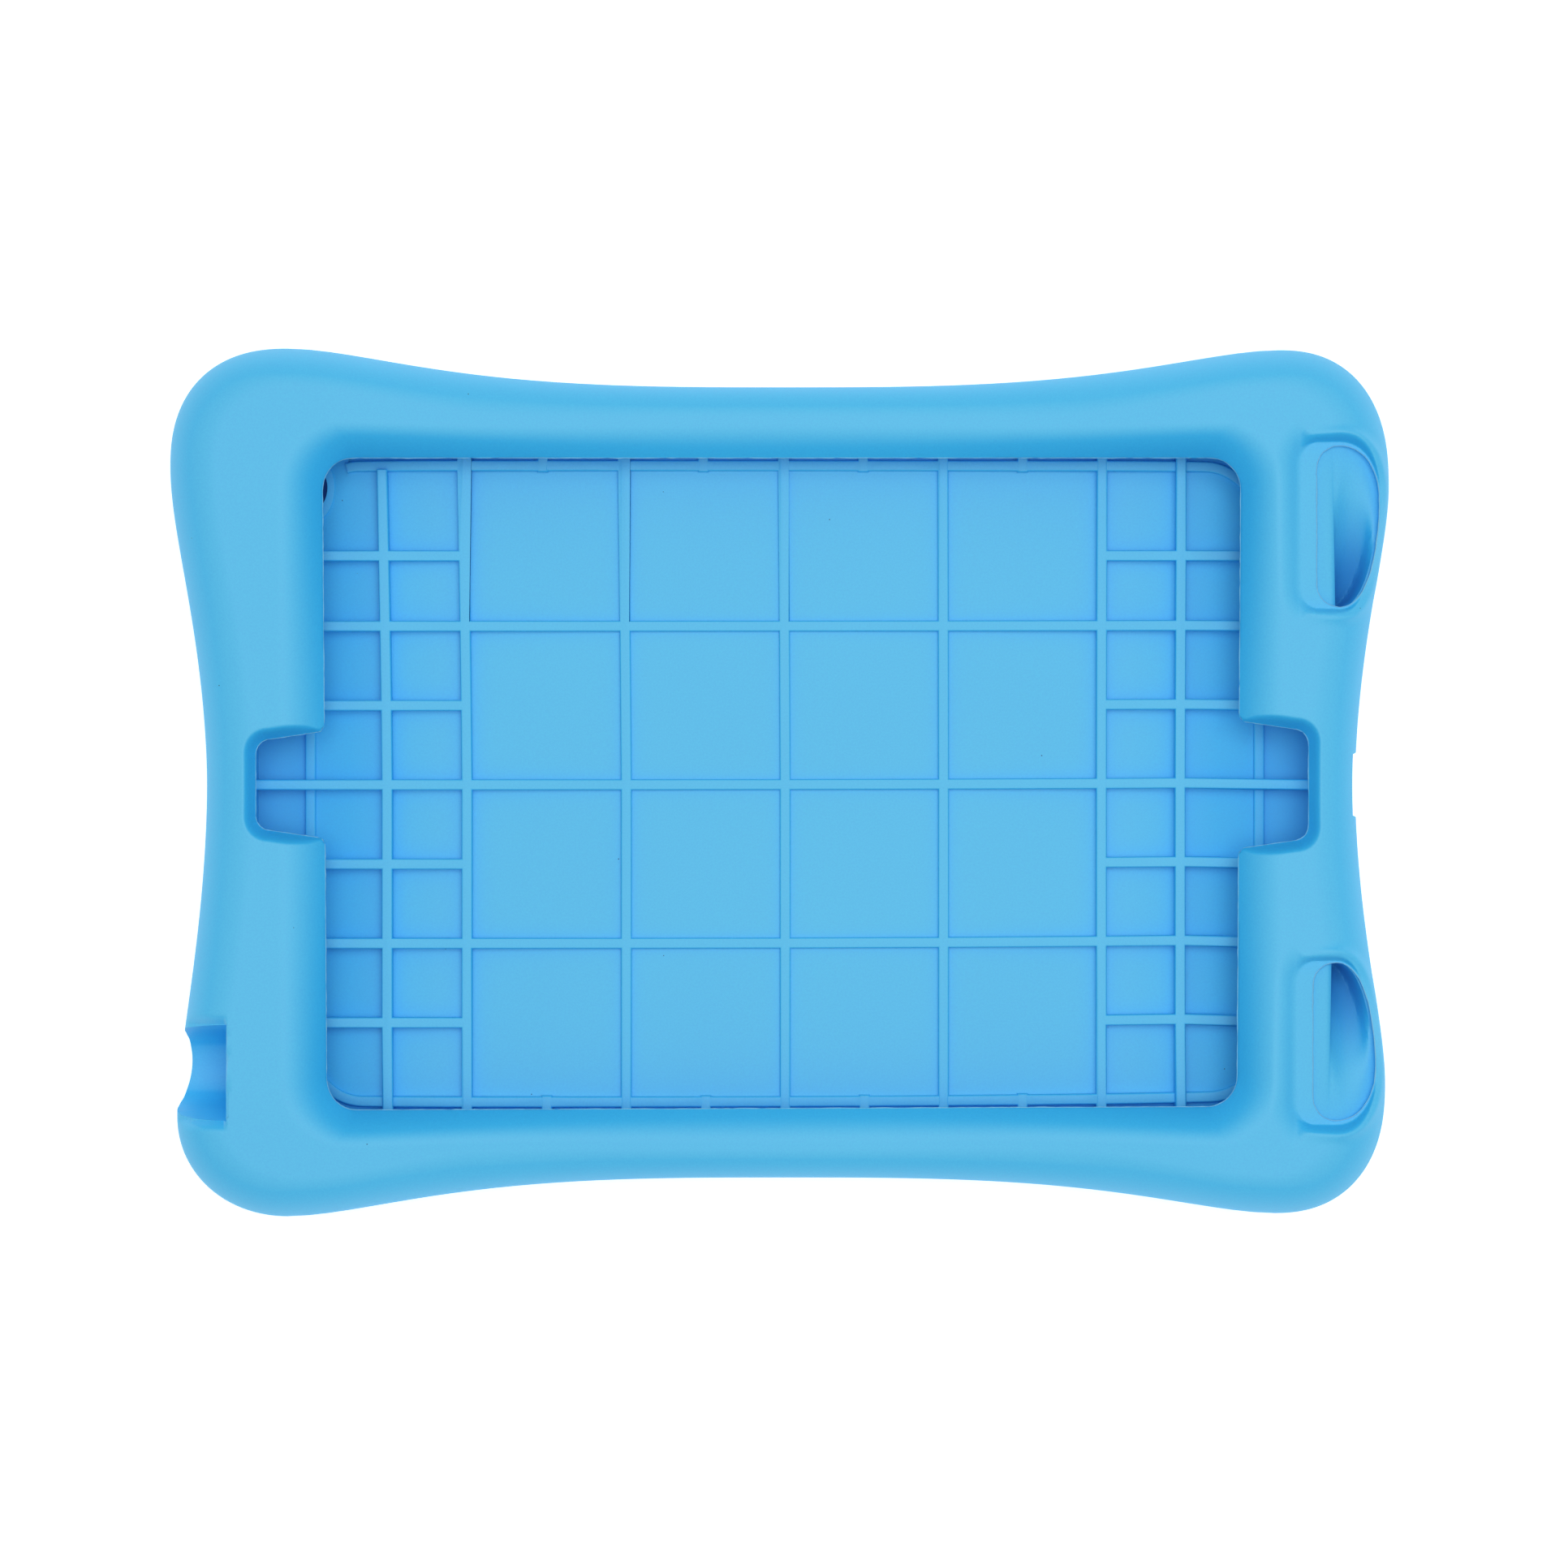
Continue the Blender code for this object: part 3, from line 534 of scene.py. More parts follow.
@dataclass
class SpeakerScoop:
    """A speaker's scoop in the right bar: a soft recess, a rim round it and a grooved mouth."""

    name: str
    corner: PaddedCorner
    wall: float = 0.0025
    width: float = 0.0119
    spine: float = 0.0075
    end: float = 0.0042
    length: float = 0.0300
    belly: float = 0.0104
    fullness: float = 2.15
    bend: float = 0.0045
    recess_left: float = 0.0036
    recess_right: float = 0.0002
    recess_outer: float = 0.0008
    recess_inner: float = 0.0004
    recess_depth: float = 0.0023
    recess_tilt: float = 0.12
    recess_steepness: Plan = (0.85, 3.4)
    recess_rolls: Plan = (0.0022, 0.0010)
    recess_fillet: float = 0.0006
    fine_inside: float = 0.0010
    fine_outside: float = 0.0026
    rim_height: float = 0.0008
    rim_away: float = 0.0017
    rim_width: float = 0.0009
    ledge: float = 0.0030
    ledge_lean: float = 0.0009
    ledge_drop: float = 0.0005
    ledge_tilt: float = 0.24
    ledge_round: float = 0.0011
    ledge_fillet: float = 0.0012
    groove_bottom: float = 0.0062
    groove_ease: float = 0.0290
    groove_power: float = 1.45
    groove_reach: float = 0.96
    draft: float = 0.0021
    draft_power: float = 1.7
    step_width: float = 0.0004
    step_steepness: float = 40.0
    column_shares: tuple[float, ...] = (0.0, 0.16, 0.26, 0.52, 1.0)
    weld: float = 0.00001
    # Painted shade in the groove: it starts this far below the recess and deepens over the next span.
    shade_from: float = 0.0012
    shade_over: float = 0.0075
    slot_height: float = 0.0026
    slot_margin: float = 0.0040
    slot_length: float = 0.0120

    @property
    def sign(self) -> int:
        """1 for the upper scoop and -1 for the lower."""
        return self.corner.side_y.value

    @property
    def right(self) -> float:
        """Outer side of the mouth."""
        return self.corner.end[0] - self.wall

    @property
    def left(self) -> float:
        """Side of the mouth next to the tablet."""
        return self.right - self.width

    @property
    def high(self) -> float:
        """End of the mouth next to the corner, as a distance from the middle."""
        return TABLET.half_width - self.end

    @property
    def low(self) -> float:
        """End of the mouth towards the middle of the side."""
        return self.high - self.length

    def span(self, y: float, left: float, right: float, low: float, high: float) -> Plan:
        """Lowest and highest x of the egg-shaped plan at a distance y from the middle.

        Args:
            y: where the plan is measured.
            left: growth of the straight side.
            right: growth of the curved side.
            low: growth of the end towards the middle.
            high: growth of the end next to the corner.

        Returns:
            The two x.
        """
        top, bottom = self.high + high, self.low - low
        belly = self.high - self.belly
        reach = top - belly if y > belly else belly - bottom
        share = min(abs(y - belly) / reach, 1.0)
        curve = (1 - share**self.fullness) ** (1 / self.fullness)
        spine = self.right - self.spine
        far = spine + (self.right + right - spine) * curve
        past = max(y - (top - self.bend), bottom + self.bend - y, 0.0) / self.bend
        held = (1 - min(past, 1.0) ** self.fullness) ** (1 / self.fullness)
        near = self.left - left + self.bend * (1 - held)
        middle = (near + far) / 2
        return min(near, middle), max(far, middle)

    def outline(
        self, left: float = 0, right: float = 0, low: float = 0, high: float = 0, steps: int = 30
    ) -> list[Plan]:
        """The egg-shaped plan, grown by these on its four sides, on the side of its corner."""
        top, bottom = self.high + high, self.low - low
        levels = [
            blend(bottom, top, (1 - math.cos(math.pi * step / steps)) / 2)
            for step in range(steps + 1)
        ]
        spans = [self.span(y, left, right, low, high) for y in levels]
        rising = [(far, y) for (_, far), y in zip(spans, levels)]
        falling = [(near, y) for (near, _), y in zip(spans, levels)]
        whole = rising + falling[-2:0:-1]
        return [(x, y * self.sign) for x, y in whole]

    def recess_floor(self, x: np.ndarray) -> np.ndarray:
        """Height of the recess at x."""
        start = self.left - self.recess_left
        return SECTION.crown_corner - self.recess_depth - (x - start) * self.recess_tilt

    def near(self, points: np.ndarray, margin: float) -> np.ndarray:
        """Which points lie within a margin of the recess, on the bumper's upper side."""
        along = points[:, 1] * self.sign
        return (
            (points[:, 0] > self.left - self.recess_left - margin)
            & (along > self.low - margin)
            & (along < self.high + margin)
            & (points[:, 2] > PORT_LEVEL)
        )

    def recess_distance(self, points: np.ndarray) -> np.ndarray:
        """Distance of points from the recess's edge, negative inside it."""
        plan = self.outline(self.recess_left, self.recess_right, self.recess_inner, self.recess_outer)
        return distance_from(plan, points[:, :2])

    def band(self, points: np.ndarray) -> np.ndarray:
        """Which of the skin's points lie by the recess's wall and its rim."""
        near = self.near(points, OVERCUT)
        away = self.recess_distance(points[near])
        near[near] = (away > -self.fine_inside) & (away < self.fine_outside)
        return near

    def lower(self, points: np.ndarray) -> None:
        """Raises the rim on the bumper's skin and sinks the recess inside it.

        Args:
            points: the skin's points, changed in place.
        """
        near = self.near(points, 3 * OVERCUT)
        spot = points[near]
        x, z = spot[:, 0], spot[:, 2]
        away = self.recess_distance(spot)
        past = x - self.left + self.recess_left
        outward = smooth(past / self.width)
        crest = np.exp(-(((away - self.rim_away) / self.rim_width) ** 2))
        z = z + self.rim_height * outward * crest
        floor = self.recess_floor(x)
        steepness = blend(*self.recess_steepness, smooth(past / self.recess_left))
        wall = soft_max(floor, floor + away * steepness, self.recess_fillet)
        points[near, 2] = soft_min(z, wall, blend(*self.recess_rolls, outward))

    def depth_shade(self, points: np.ndarray) -> np.ndarray:
        """Painted shade inside the mouth: 0 at the ledge, 1 deep in the groove."""
        shade_amount = np.zeros(len(points))
        along = points[:, 1] * self.sign
        in_groove = (points[:, 0] > self.left) & (points[:, 2] > self.groove_bottom - TINY)
        near = self.near(points, 0.0) | in_groove
        near &= (along > self.low - TINY) & (along < self.high + TINY)
        inside = distance_from(self.outline(), points[near, :2]) < self.recess_inner / 4
        sunk = self.recess_floor(points[near, 0]) - points[near, 2]
        shade_amount[near] = np.where(inside, smooth((sunk - self.shade_from) / self.shade_over), 0.0)
        return shade_amount

    def ledge_edge(self, y: float) -> float:
        """X where the ledge ends and the groove begins."""
        return self.left + self.ledge + self.ledge_lean * (self.high - y) / self.length

    def mouth_floor(self, x: float, y: float, far: float) -> float:
        """Height inside the mouth: a tilted ledge, and a round groove that deepens inwards."""
        ledge = self.recess_floor(self.left) - self.ledge_drop - (x - self.left) * self.ledge_tilt
        start = self.ledge_edge(y)
        radius = (self.right - start) / 2
        across = min(abs(x - (start + self.right) / 2) / radius, 1.0)
        share = min((self.high - y) / self.groove_ease, 1.0) ** self.groove_power
        top = self.recess_floor(start) - self.ledge_drop
        hollow = radius * (1 - math.sqrt(1 - min(across, self.groove_reach) ** 2))
        groove = top - share * (top - self.groove_bottom) + hollow
        rolled = min(max(x - start + self.ledge_round, 0.0) / self.ledge_round, 1.0)
        ledge -= self.ledge_round * share * (1 - math.sqrt(1 - rolled**2))
        past = min(max(self.draft - (far - x), 0.0) / self.draft, 1.0)
        groove = blend(groove, max(groove, self.recess_floor(far)), past**self.draft_power)
        if x < start:
            groove += (start - x) * self.step_steepness
        return float(soft_min(ledge, groove, self.ledge_fillet))

    def mouth(self, workshop: Workshop, rows: int = 60, columns: int = 40) -> bpy.types.Object:
        """The space inside the mouth, down to the ledge and the groove.

        Args:
            workshop: where the solid is made.
            rows: number of sections along the mouth.
            columns: number of cells across each.

        Returns:
            The solid to cut with.
        """
        bm = bmesh.new()

        def place(column: int, row: int) -> Vector:
            y = blend(self.low, self.high, (1 - math.cos(math.pi * row / rows)) / 2)
            near, far = self.span(y, 0, 0, 0, 0)
            share = min(max(column - 1, 0) / (columns - 2), 1.0)
            step = self.ledge_edge(y)
            knots = np.clip((near, step - self.ledge_round, step - self.step_width, step, far), near, far)
            x = float(np.interp(share, self.column_shares, knots))
            edge = column in (0, columns)
            return Vector((x, y * self.sign, SKY if edge else self.mouth_floor(x, y, far)))

        bent_grid(bm, columns, rows, place)
        bmesh.ops.remove_doubles(bm, verts=bm.verts, dist=self.weld)
        bmesh.ops.holes_fill(bm, edges=[edge for edge in bm.edges if edge.is_boundary])
        return workshop.solid(bm, self.name)

    def slot(self, workshop: Workshop) -> bpy.types.Object:
        """The slot that lets sound from the tablet's end into the groove, out of sight from above."""
        start = self.low + self.slot_margin
        ends = sorted((self.sign * start, self.sign * (start + self.slot_length)))
        bottom = PORT_LEVEL - self.slot_height / 2
        bm = bmesh.new()
        low = Vector((TABLET.half_length - OVERCUT, ends[0], bottom))
        high = Vector((self.ledge_edge(start), ends[1], bottom + self.slot_height))
        place = Matrix.Translation((low + high) / 2) @ Matrix.Diagonal((*(high - low), 1))
        bmesh.ops.create_cube(bm, size=1.0, matrix=place)
        return workshop.solid(bm, f"{self.name}_slot")


@dataclass
class PlugScoop:
    """The U-shaped scoop for an earphone plug's grip, and the round hole into the pocket."""

    wall: float = 0.0041
    bottom: float = 0.0038
    from_side: float = 0.01375
    half_width: float = 0.0089
    floor_radius: float = 0.0092
    floor_half: float = 0.0044
    wall_rise: float = 0.75
    wall_gain: float = 0.0987
    wall_power: float = 3.14
    edge_reach: float = 0.0022
    edge_drop: float = 0.0021
    edge_level: float = 0.0115
    edge_ramp: float = 0.0065
    corner_reach: float = 0.0009
    fine_reach: float = 0.00242
    fine_margin: float = 0.0010
    hole_radius: float = 0.0032
    hole_edges: int = 48

    @property
    def middle(self) -> float:
        """Y of the plug's axis."""
        return self.from_side - TABLET.half_width

    @property
    def end(self) -> float:
        """X of the scoop's flat end wall."""
        return -TABLET.half_length - self.wall

    def height(self, across: float) -> float:
        """Height of the scoop's section at a distance from its axis."""
        inner = min(across, self.floor_half)
        arc = self.floor_radius - math.sqrt(self.floor_radius**2 - inner**2)
        past = max(across - self.floor_half, 0.0) / MILLIMETRE
        rise = self.wall_rise * past + self.wall_gain * past**self.wall_power
        return self.bottom + arc + rise * MILLIMETRE

    def lower(self, points: np.ndarray) -> None:
        """Rolls the bumper's skin over at the scoop's two long edges.

        Args:
            points: the skin's points, changed in place.
        """
        fade = smooth((self.end + self.corner_reach / 3 - points[:, 0]) / self.corner_reach)
        away = np.maximum(np.abs(points[:, 1] - self.middle) - self.half_width, 0.0)
        left = np.clip(1 - away / self.edge_reach, 0.0, 1.0)
        above = smooth((points[:, 2] - self.edge_level) / self.edge_ramp)
        points[:, 2] -= self.edge_drop * fade * above * left**2

    def band(self, points: np.ndarray) -> np.ndarray:
        """Which of the skin's points lie by the scoop's long edges."""
        away = np.abs(points[:, 1] - self.middle) - self.half_width
        beside = (away > -self.fine_margin) & (away < self.fine_reach)
        return beside & (points[:, 0] < self.end + self.fine_margin) & (points[:, 2] > self.edge_level)

    def scoop(self, workshop: Workshop, steps: int = 48) -> bpy.types.Object:
        """The space of the scoop, open to the outside.

        Args:
            workshop: where the solid is made.
            steps: edges across the section.

        Returns:
            The solid to cut with.
        """
        bm = bmesh.new()
        far = self.end - 4 * self.half_width
        across = [self.half_width * (2 * step / steps - 1) for step in range(steps + 1)]
        bottom = [(y, self.height(abs(y))) for y in across]
        corners = [(-self.half_width, SKY), *bottom, (self.half_width, SKY)]
        verts = [bm.verts.new((far, self.middle + y, z)) for y, z in corners]
        grow(bm, bmesh.ops.contextual_create(bm, geom=verts)["faces"], (self.end - far, 0, 0))
        return workshop.solid(bm, "plug_scoop")

    def hole(self, workshop: Workshop) -> bpy.types.Object:
        """The round hole through the wall."""
        bm = bmesh.new()
        centre = (-TABLET.half_length - self.wall / 2, self.middle, PORT_LEVEL)
        place = Matrix.Translation(centre) @ Matrix.Rotation(math.pi / 2, 4, "Y")
        radii = (self.hole_radius, self.hole_radius)
        add_round(bm, place, radii, self.wall + OVERCUT, self.hole_edges)
        return workshop.solid(bm, "plug_hole")


@dataclass
class ChargingPort:
    """The charging port's opening through the right side, flared outside."""

    width: float = 0.0112
    flare: float = 0.0022
    flare_depth: float = 1.6
    flare_width: float = 1.4
    flare_steps: int = 8
    margin: float = 0.0002

    def cutter(self, workshop: Workshop) -> bpy.types.Object:
        """The solid that opens the port."""
        half, flare = self.width / 2, self.flare
        outside = TABLET.half_length + SECTION.waist_right
        start = outside - flare
        upper = [(TABLET.half_length - OVERCUT, half)]
        for run, rise in quarter_turn(self.flare_steps):
            upper.append((start + self.flare_depth * flare * rise, half + flare * (1 - run)))
        upper.append((outside + 2 * OVERCUT, half + self.flare_width * flare))
        outline = upper + [(x, -y) for x, y in reversed(upper)]
        bm = bmesh.new()
        tall = TABLET.thickness / 2 - self.margin
        add_prism(bm, outline, PORT_LEVEL - tall, PORT_LEVEL + tall)
        return workshop.solid(bm, "charging_port")


@dataclass
class CameraHole:
    """The round hole for the rear camera, with its collar and the shallow dish round it."""

    from_end: float = 0.0076
    from_side: float = 0.01100
    radius: float = 0.0056
    collar: float = 0.0020
    collar_rise: float = 0.0012
    collar_edge: float = 0.0003
    clearing: float = 0.0053
    dish: float = 0.0076

    @property
    def centre(self) -> Vector:
        """Middle of the hole in the plan."""
        return Vector((-TABLET.half_length + self.from_end, TABLET.half_width - self.from_side, 0))

    def round_solid(
        self, workshop: Workshop, name: str, radii: Plan, low: float, high: float, edge: float = 0
    ) -> bpy.types.Object:
        """An upright round solid on the hole's axis.

        Args:
            workshop: where the solid is made.
            name: its name.
            radii: radius at its base and at its top.
            low: height of its base.
            high: height of its top.
            edge: rounding of its upper edge.

        Returns:
            The solid.
        """
        bm = bmesh.new()
        place = Matrix.Translation((self.centre.x, self.centre.y, (low + high) / 2))
        add_round(bm, place, radii, high - low)
        if edge:
            top = [e for e in bm.edges if all(v.co.z > high - TINY for v in e.verts)]
            soften(bm, top, edge)
        return workshop.solid(bm, name)

    def hole(self, workshop: Workshop) -> bpy.types.Object:
        """The hole through the floor."""
        return self.round_solid(workshop, "camera_hole", (self.radius, self.radius), -OVERCUT, POCKET_TOP)

    def clearing_gap(self, workshop: Workshop) -> bpy.types.Object:
        """The round gap that the frame rib leaves round the collar."""
        clear = self.radius + self.clearing
        return self.round_solid(workshop, "camera_clearing", (clear, clear), -2 * OVERCUT, SKY)

    def dish_cone(self, workshop: Workshop, low: float, high: float) -> bpy.types.Object:
        """The cone that dishes the floor towards the collar."""
        radii = (self.radius + self.clearing, self.radius + self.dish)
        return self.round_solid(workshop, "camera_dish", radii, low, high)

    def collar_ring(self, workshop: Workshop, base: float) -> bpy.types.Object:
        """The collar, standing on the floor at this height."""
        radii = (self.radius + self.collar, self.radius + self.collar)
        top = base + self.collar_rise
        return self.round_solid(workshop, "camera_collar", radii, -OVERCUT, top, self.collar_edge)


@dataclass
class Flex:
    """How the soft rubber has crept out of square: the floor, up to its walls, and the lip."""

    pull_left: float = 0.0010
    lift_right: float = 0.00035
    settle: float = 0.00015
    hold_x: float = 0.0790
    ease_x: float = 0.0100
    hold_y: float = 0.0610
    push_upper: float = 0.00035
    push_from: float = 0.0500
    push_over: float = 0.0080
    span: Plan = (0.0750, 0.0600)
    pull_until: float = 0.57
    pull_limits: Plan = (-0.5, 2.0)
    pull_power: float = 1.3
    lift_fall: float = 1.2
    lift_limit: float = 2.4
    lean_left: float = 0.00085
    lean_right: float = 0.00070
    rise_right: float = 0.00065
    sag_left: float = 0.00025
    lip_reach: float = 0.0120
    lip_skin: float = 0.0002

    def creep(self, points: np.ndarray, low: Plan, high: Plan) -> None:
        """Moves the lip's edges a little in the plan, as the soft lip stands in the photo.

        Args:
            points: the case's points, changed in place.
            low: lowest x and y of the window.
            high: highest x and y of the window.
        """
        lifted = smooth((points[:, 2] - POCKET_TOP) / self.lip_skin + 1)
        down = np.clip((high[1] - points[:, 1]) / (high[1] - low[1]), 0, 1)
        right = np.clip((points[:, 0] - low[0]) / (high[0] - low[0]), 0, 1)
        by_left, by_right = (self.nearness(points[:, 0], edge) for edge in (low[0], high[0]))
        by_lower, by_upper = (self.nearness(points[:, 1], edge) for edge in (low[1], high[1]))
        points[:, 0] += lifted * down * (self.lean_left * by_left - self.lean_right * by_right)
        points[:, 1] += lifted * by_lower * (self.rise_right * right - self.sag_left)
        points[:, 1] += lifted * by_upper * self.sag_left

    def nearness(self, values: np.ndarray, edge: float) -> np.ndarray:
        """1 at an edge, fading to 0 a lip's width away from it."""
        return 1 - smooth(np.abs(values - edge) / self.lip_reach)

    def bend(self, solid: bpy.types.Object) -> None:
        """Moves the solid's points in the plan.

        Args:
            solid: the space inside the case.
        """
        points = read_points(solid)
        across, up = points[:, 0] / self.span[0], points[:, 1] / self.span[1]
        free = 1 - smooth((np.abs(points[:, 0]) - self.hold_x) / self.ease_x)
        free *= 1 - smooth((np.abs(points[:, 1]) - self.hold_y) / (TABLET.half_width - self.hold_y))
        left = np.clip(self.pull_until - across, *self.pull_limits) / (1 + self.pull_until)
        pull = self.pull_left * left * np.maximum(up, 0.0) ** self.pull_power
        pull += self.settle * (2 * across**2 - 0.5)
        right = (np.clip(1 + across, 0, self.lift_limit) / 2) ** 3
        lift = self.lift_right * (1 - self.lift_fall * up) * right
        push = self.push_upper * smooth((points[:, 1] - self.push_from) / self.push_over)
        points[:, 0] -= free * pull
        points[:, 1] += free * (lift + push)
        write_points(solid, points)


@dataclass
class Pocket:
    """The tablet's pocket: an arched floor with a frame rib, a grid of ribs and short stubs."""

    camera: CameraHole
    rib_width: float = 0.0020
    frame_inset_x: float = 0.0100
    frame_inset_y: float = 0.00735
    frame_rise: float = 0.0008
    frame_corner: float = 0.0102
    moat_depth: float = 0.0008
    frame_sink: float = 0.0001
    level_reach: float = 0.0620
    level_ease: float = 0.0220
    stub_rise: float = 0.00004
    stub_reach: float = 0.0002
    nose: float = 0.0008
    nose_back: float = 0.0006
    camera_bay: Plan = (0.0826, 0.0450)
    bays_x: int = 12
    bays_y: int = 8
    across: tuple[int, ...] = (-5, -4, -2, 0, 2, 4, 5)
    open_bays: int = 4
    upper_rib_drop: float = 0.0017
    edge_round: float = 0.00035
    folds: int = 31
    flex: Flex = field(default_factory=Flex)

    @property
    def frame_half(self) -> Plan:
        """Half sizes of the frame rib's centre line."""
        return TABLET.half_length - self.frame_inset_x, TABLET.half_width - self.frame_inset_y

    @property
    def pitch(self) -> Plan:
        """Spacing of the ribs along X and along Y."""
        return 2 * self.frame_half[0] / self.bays_x, 2 * self.frame_half[1] / self.bays_y

    def fold_lines(self, more: int = 0) -> list[float]:
        """The x at which the arched floor bends."""
        reach = TABLET.half_length - SECTION.end_pad
        count = self.folds + more
        return [reach * (2 * index / count - 1) for index in range(count + 1)]

    def floor(self, x: float) -> float:
        """Height of the floor inside the frame rib."""
        return back_height(x) + SECTION.back_wall

    def lift(self, bm: bmesh.types.BMesh, more: int = 0) -> None:
        """Bends a flat shape that was modelled on a floor at zero to the arched floor."""
        fold(bm, self.fold_lines(more))
        for vert in bm.verts:
            vert.co.z += self.floor(vert.co.x)

    def bar(self, bm: bmesh.types.BMesh, low: Vector, high: Vector, turn: float = 0.0) -> None:
        """Adds one rib with its upper edges rounded.

        Args:
            bm: the mesh that gets the rib.
            low: its lowest corner, before it is turned.
            high: its highest corner, before it is turned.
            turn: angle it is turned by about the vertical through the low end's middle.
        """
        pivot = Vector((low.x, (low.y + high.y) / 2, 0))
        size = Matrix.Diagonal((*(high - low), 1))
        spin = Matrix.Translation(pivot) @ Matrix.Rotation(turn, 4, "Z") @ Matrix.Translation(-pivot)
        place = spin @ Matrix.Translation((low + high) / 2) @ size
        made = bmesh.ops.create_cube(bm, size=1.0, matrix=place)["verts"]
        own = set(made)
        top = [
            edge
            for vert in made
            for edge in vert.link_edges
            if all(end in own and end.co.z > high.z - TINY for end in edge.verts)
        ]
        soften(bm, list(set(top)), self.edge_round)

    def ribs_across(self, workshop: Workshop) -> bpy.types.Object:
        """The ribs that run along Y, with their tops in the plane of the tablet."""
        bm = bmesh.new()
        half, wall = self.rib_width / 2, TABLET.half_width + OVERCUT
        for bay in self.across:
            middle = bay * self.pitch[0]
            by_camera = bay == min(self.across)
            reach = self.frame_half[1] - self.nose_back if by_camera else wall
            low = Vector((middle - half, -wall, -OVERCUT))
            self.bar(bm, low, Vector((middle + half, reach, RIB_TOP)))
            if by_camera:
                upright = [
                    edge
                    for edge in bm.edges
                    if all(vert.co.y > reach - TINY for vert in edge.verts)
                    and abs(edge.verts[0].co.z - edge.verts[1].co.z) > self.edge_round
                ]
                soften(bm, upright, self.nose)
        return workshop.solid(bm, "ribs_across")

    def ribs_along(self, workshop: Workshop) -> bpy.types.Object:
        """The ribs that run along X. The odd ones are only in the close bays at the two ends."""
        bm = bmesh.new()
        wall = TABLET.half_length + OVERCUT
        start = self.open_bays * self.pitch[0]
        last = self.bays_y // 2 - 1
        half = self.rib_width / 2
        for bay in range(-last, last + 1):
            middle = bay * self.pitch[1] - (self.upper_rib_drop if bay == last else 0)
            spans = ((-wall, -start), (start, wall)) if bay % 2 else ((-wall, wall),)
            for low_x, high_x in spans:
                low = Vector((low_x, middle - half, -OVERCUT))
                self.bar(bm, low, Vector((high_x, middle + half, RIB_TOP)))
        return workshop.solid(bm, "ribs_along")

    def stubs(self, workshop: Workshop) -> bpy.types.Object:
        """Short stubs from the frame rib to the pocket's long walls, and across three corners."""
        bm = bmesh.new()
        half = self.rib_width / 2
        start = self.frame_half[1] - half - self.stub_reach
        for bay in range(1 - self.bays_x // 2, self.bays_x // 2):
            if bay in self.across:
                continue
            middle = bay * self.pitch[0]
            top = self.frame_top(middle) + self.stub_rise
            for side in Side:
                ends = sorted((side.value * start, side.value * (TABLET.half_width + OVERCUT)))
                low = Vector((middle - half, ends[0], -OVERCUT))
                self.bar(bm, low, Vector((middle + half, ends[1], top)))
        centre_x, centre_y = (reach - self.frame_corner for reach in self.frame_half)
        top = self.frame_top(self.frame_half[0]) + self.stub_rise
        for side_x, side_y in ((1, 1), (1, -1), (-1, -1)):
            outward = Vector((side_x, side_y)).normalized()
            near = Vector((side_x * centre_x, side_y * centre_y)) + outward * self.frame_corner
            low = Vector((near.x, near.y - half, -OVERCUT))
            high = Vector((near.x + self.frame_inset_x + OVERCUT, near.y + half, top))
            self.bar(bm, low, high, math.atan2(side_y, side_x))
        return workshop.solid(bm, "rib_stubs")

    def camera_floor(self, workshop: Workshop) -> bpy.types.Object:
        """The floor's extension to the walls in the camera's corner, where no groove runs."""
        bay_x, bay_y = self.camera_bay
        wall_x, wall_y = TABLET.half_length + OVERCUT, TABLET.half_width + OVERCUT
        outline = [(-bay_x, bay_y), (-bay_x, wall_y), (-wall_x, wall_y), (-wall_x, bay_y)]
        bm = bmesh.new()
        add_prism(bm, outline, -2 * OVERCUT, 0.0)
        self.lift(bm)
        return workshop.solid(bm, "camera_floor")

    def raised_floor(self, workshop: Workshop) -> bpy.types.Object:
        """The floor inside the frame rib, dished round the camera hole."""
        bm = bmesh.new()
        add_prism(bm, centred_box(self.frame_half, self.frame_corner), -2 * OVERCUT, 0.0)
        self.lift(bm)
        solid = workshop.solid(bm, "raised_floor")
        workshop.combine(solid, Operation.JOIN, self.camera_floor(workshop))
        level = self.floor(self.camera.centre.x)
        cone = self.camera.dish_cone(workshop, level - self.moat_depth, level)
        workshop.combine(solid, Operation.CUT, cone)
        return solid

    def frame_top(self, x: float) -> float:
        """Height of the frame rib, level with the ribs along the long sides, low at the ends."""
        low, level = self.floor(x) + self.frame_rise, RIB_TOP - self.frame_sink
        share = float(smooth((abs(x) - self.level_reach) / self.level_ease))
        return blend(max(low, level), low, share)

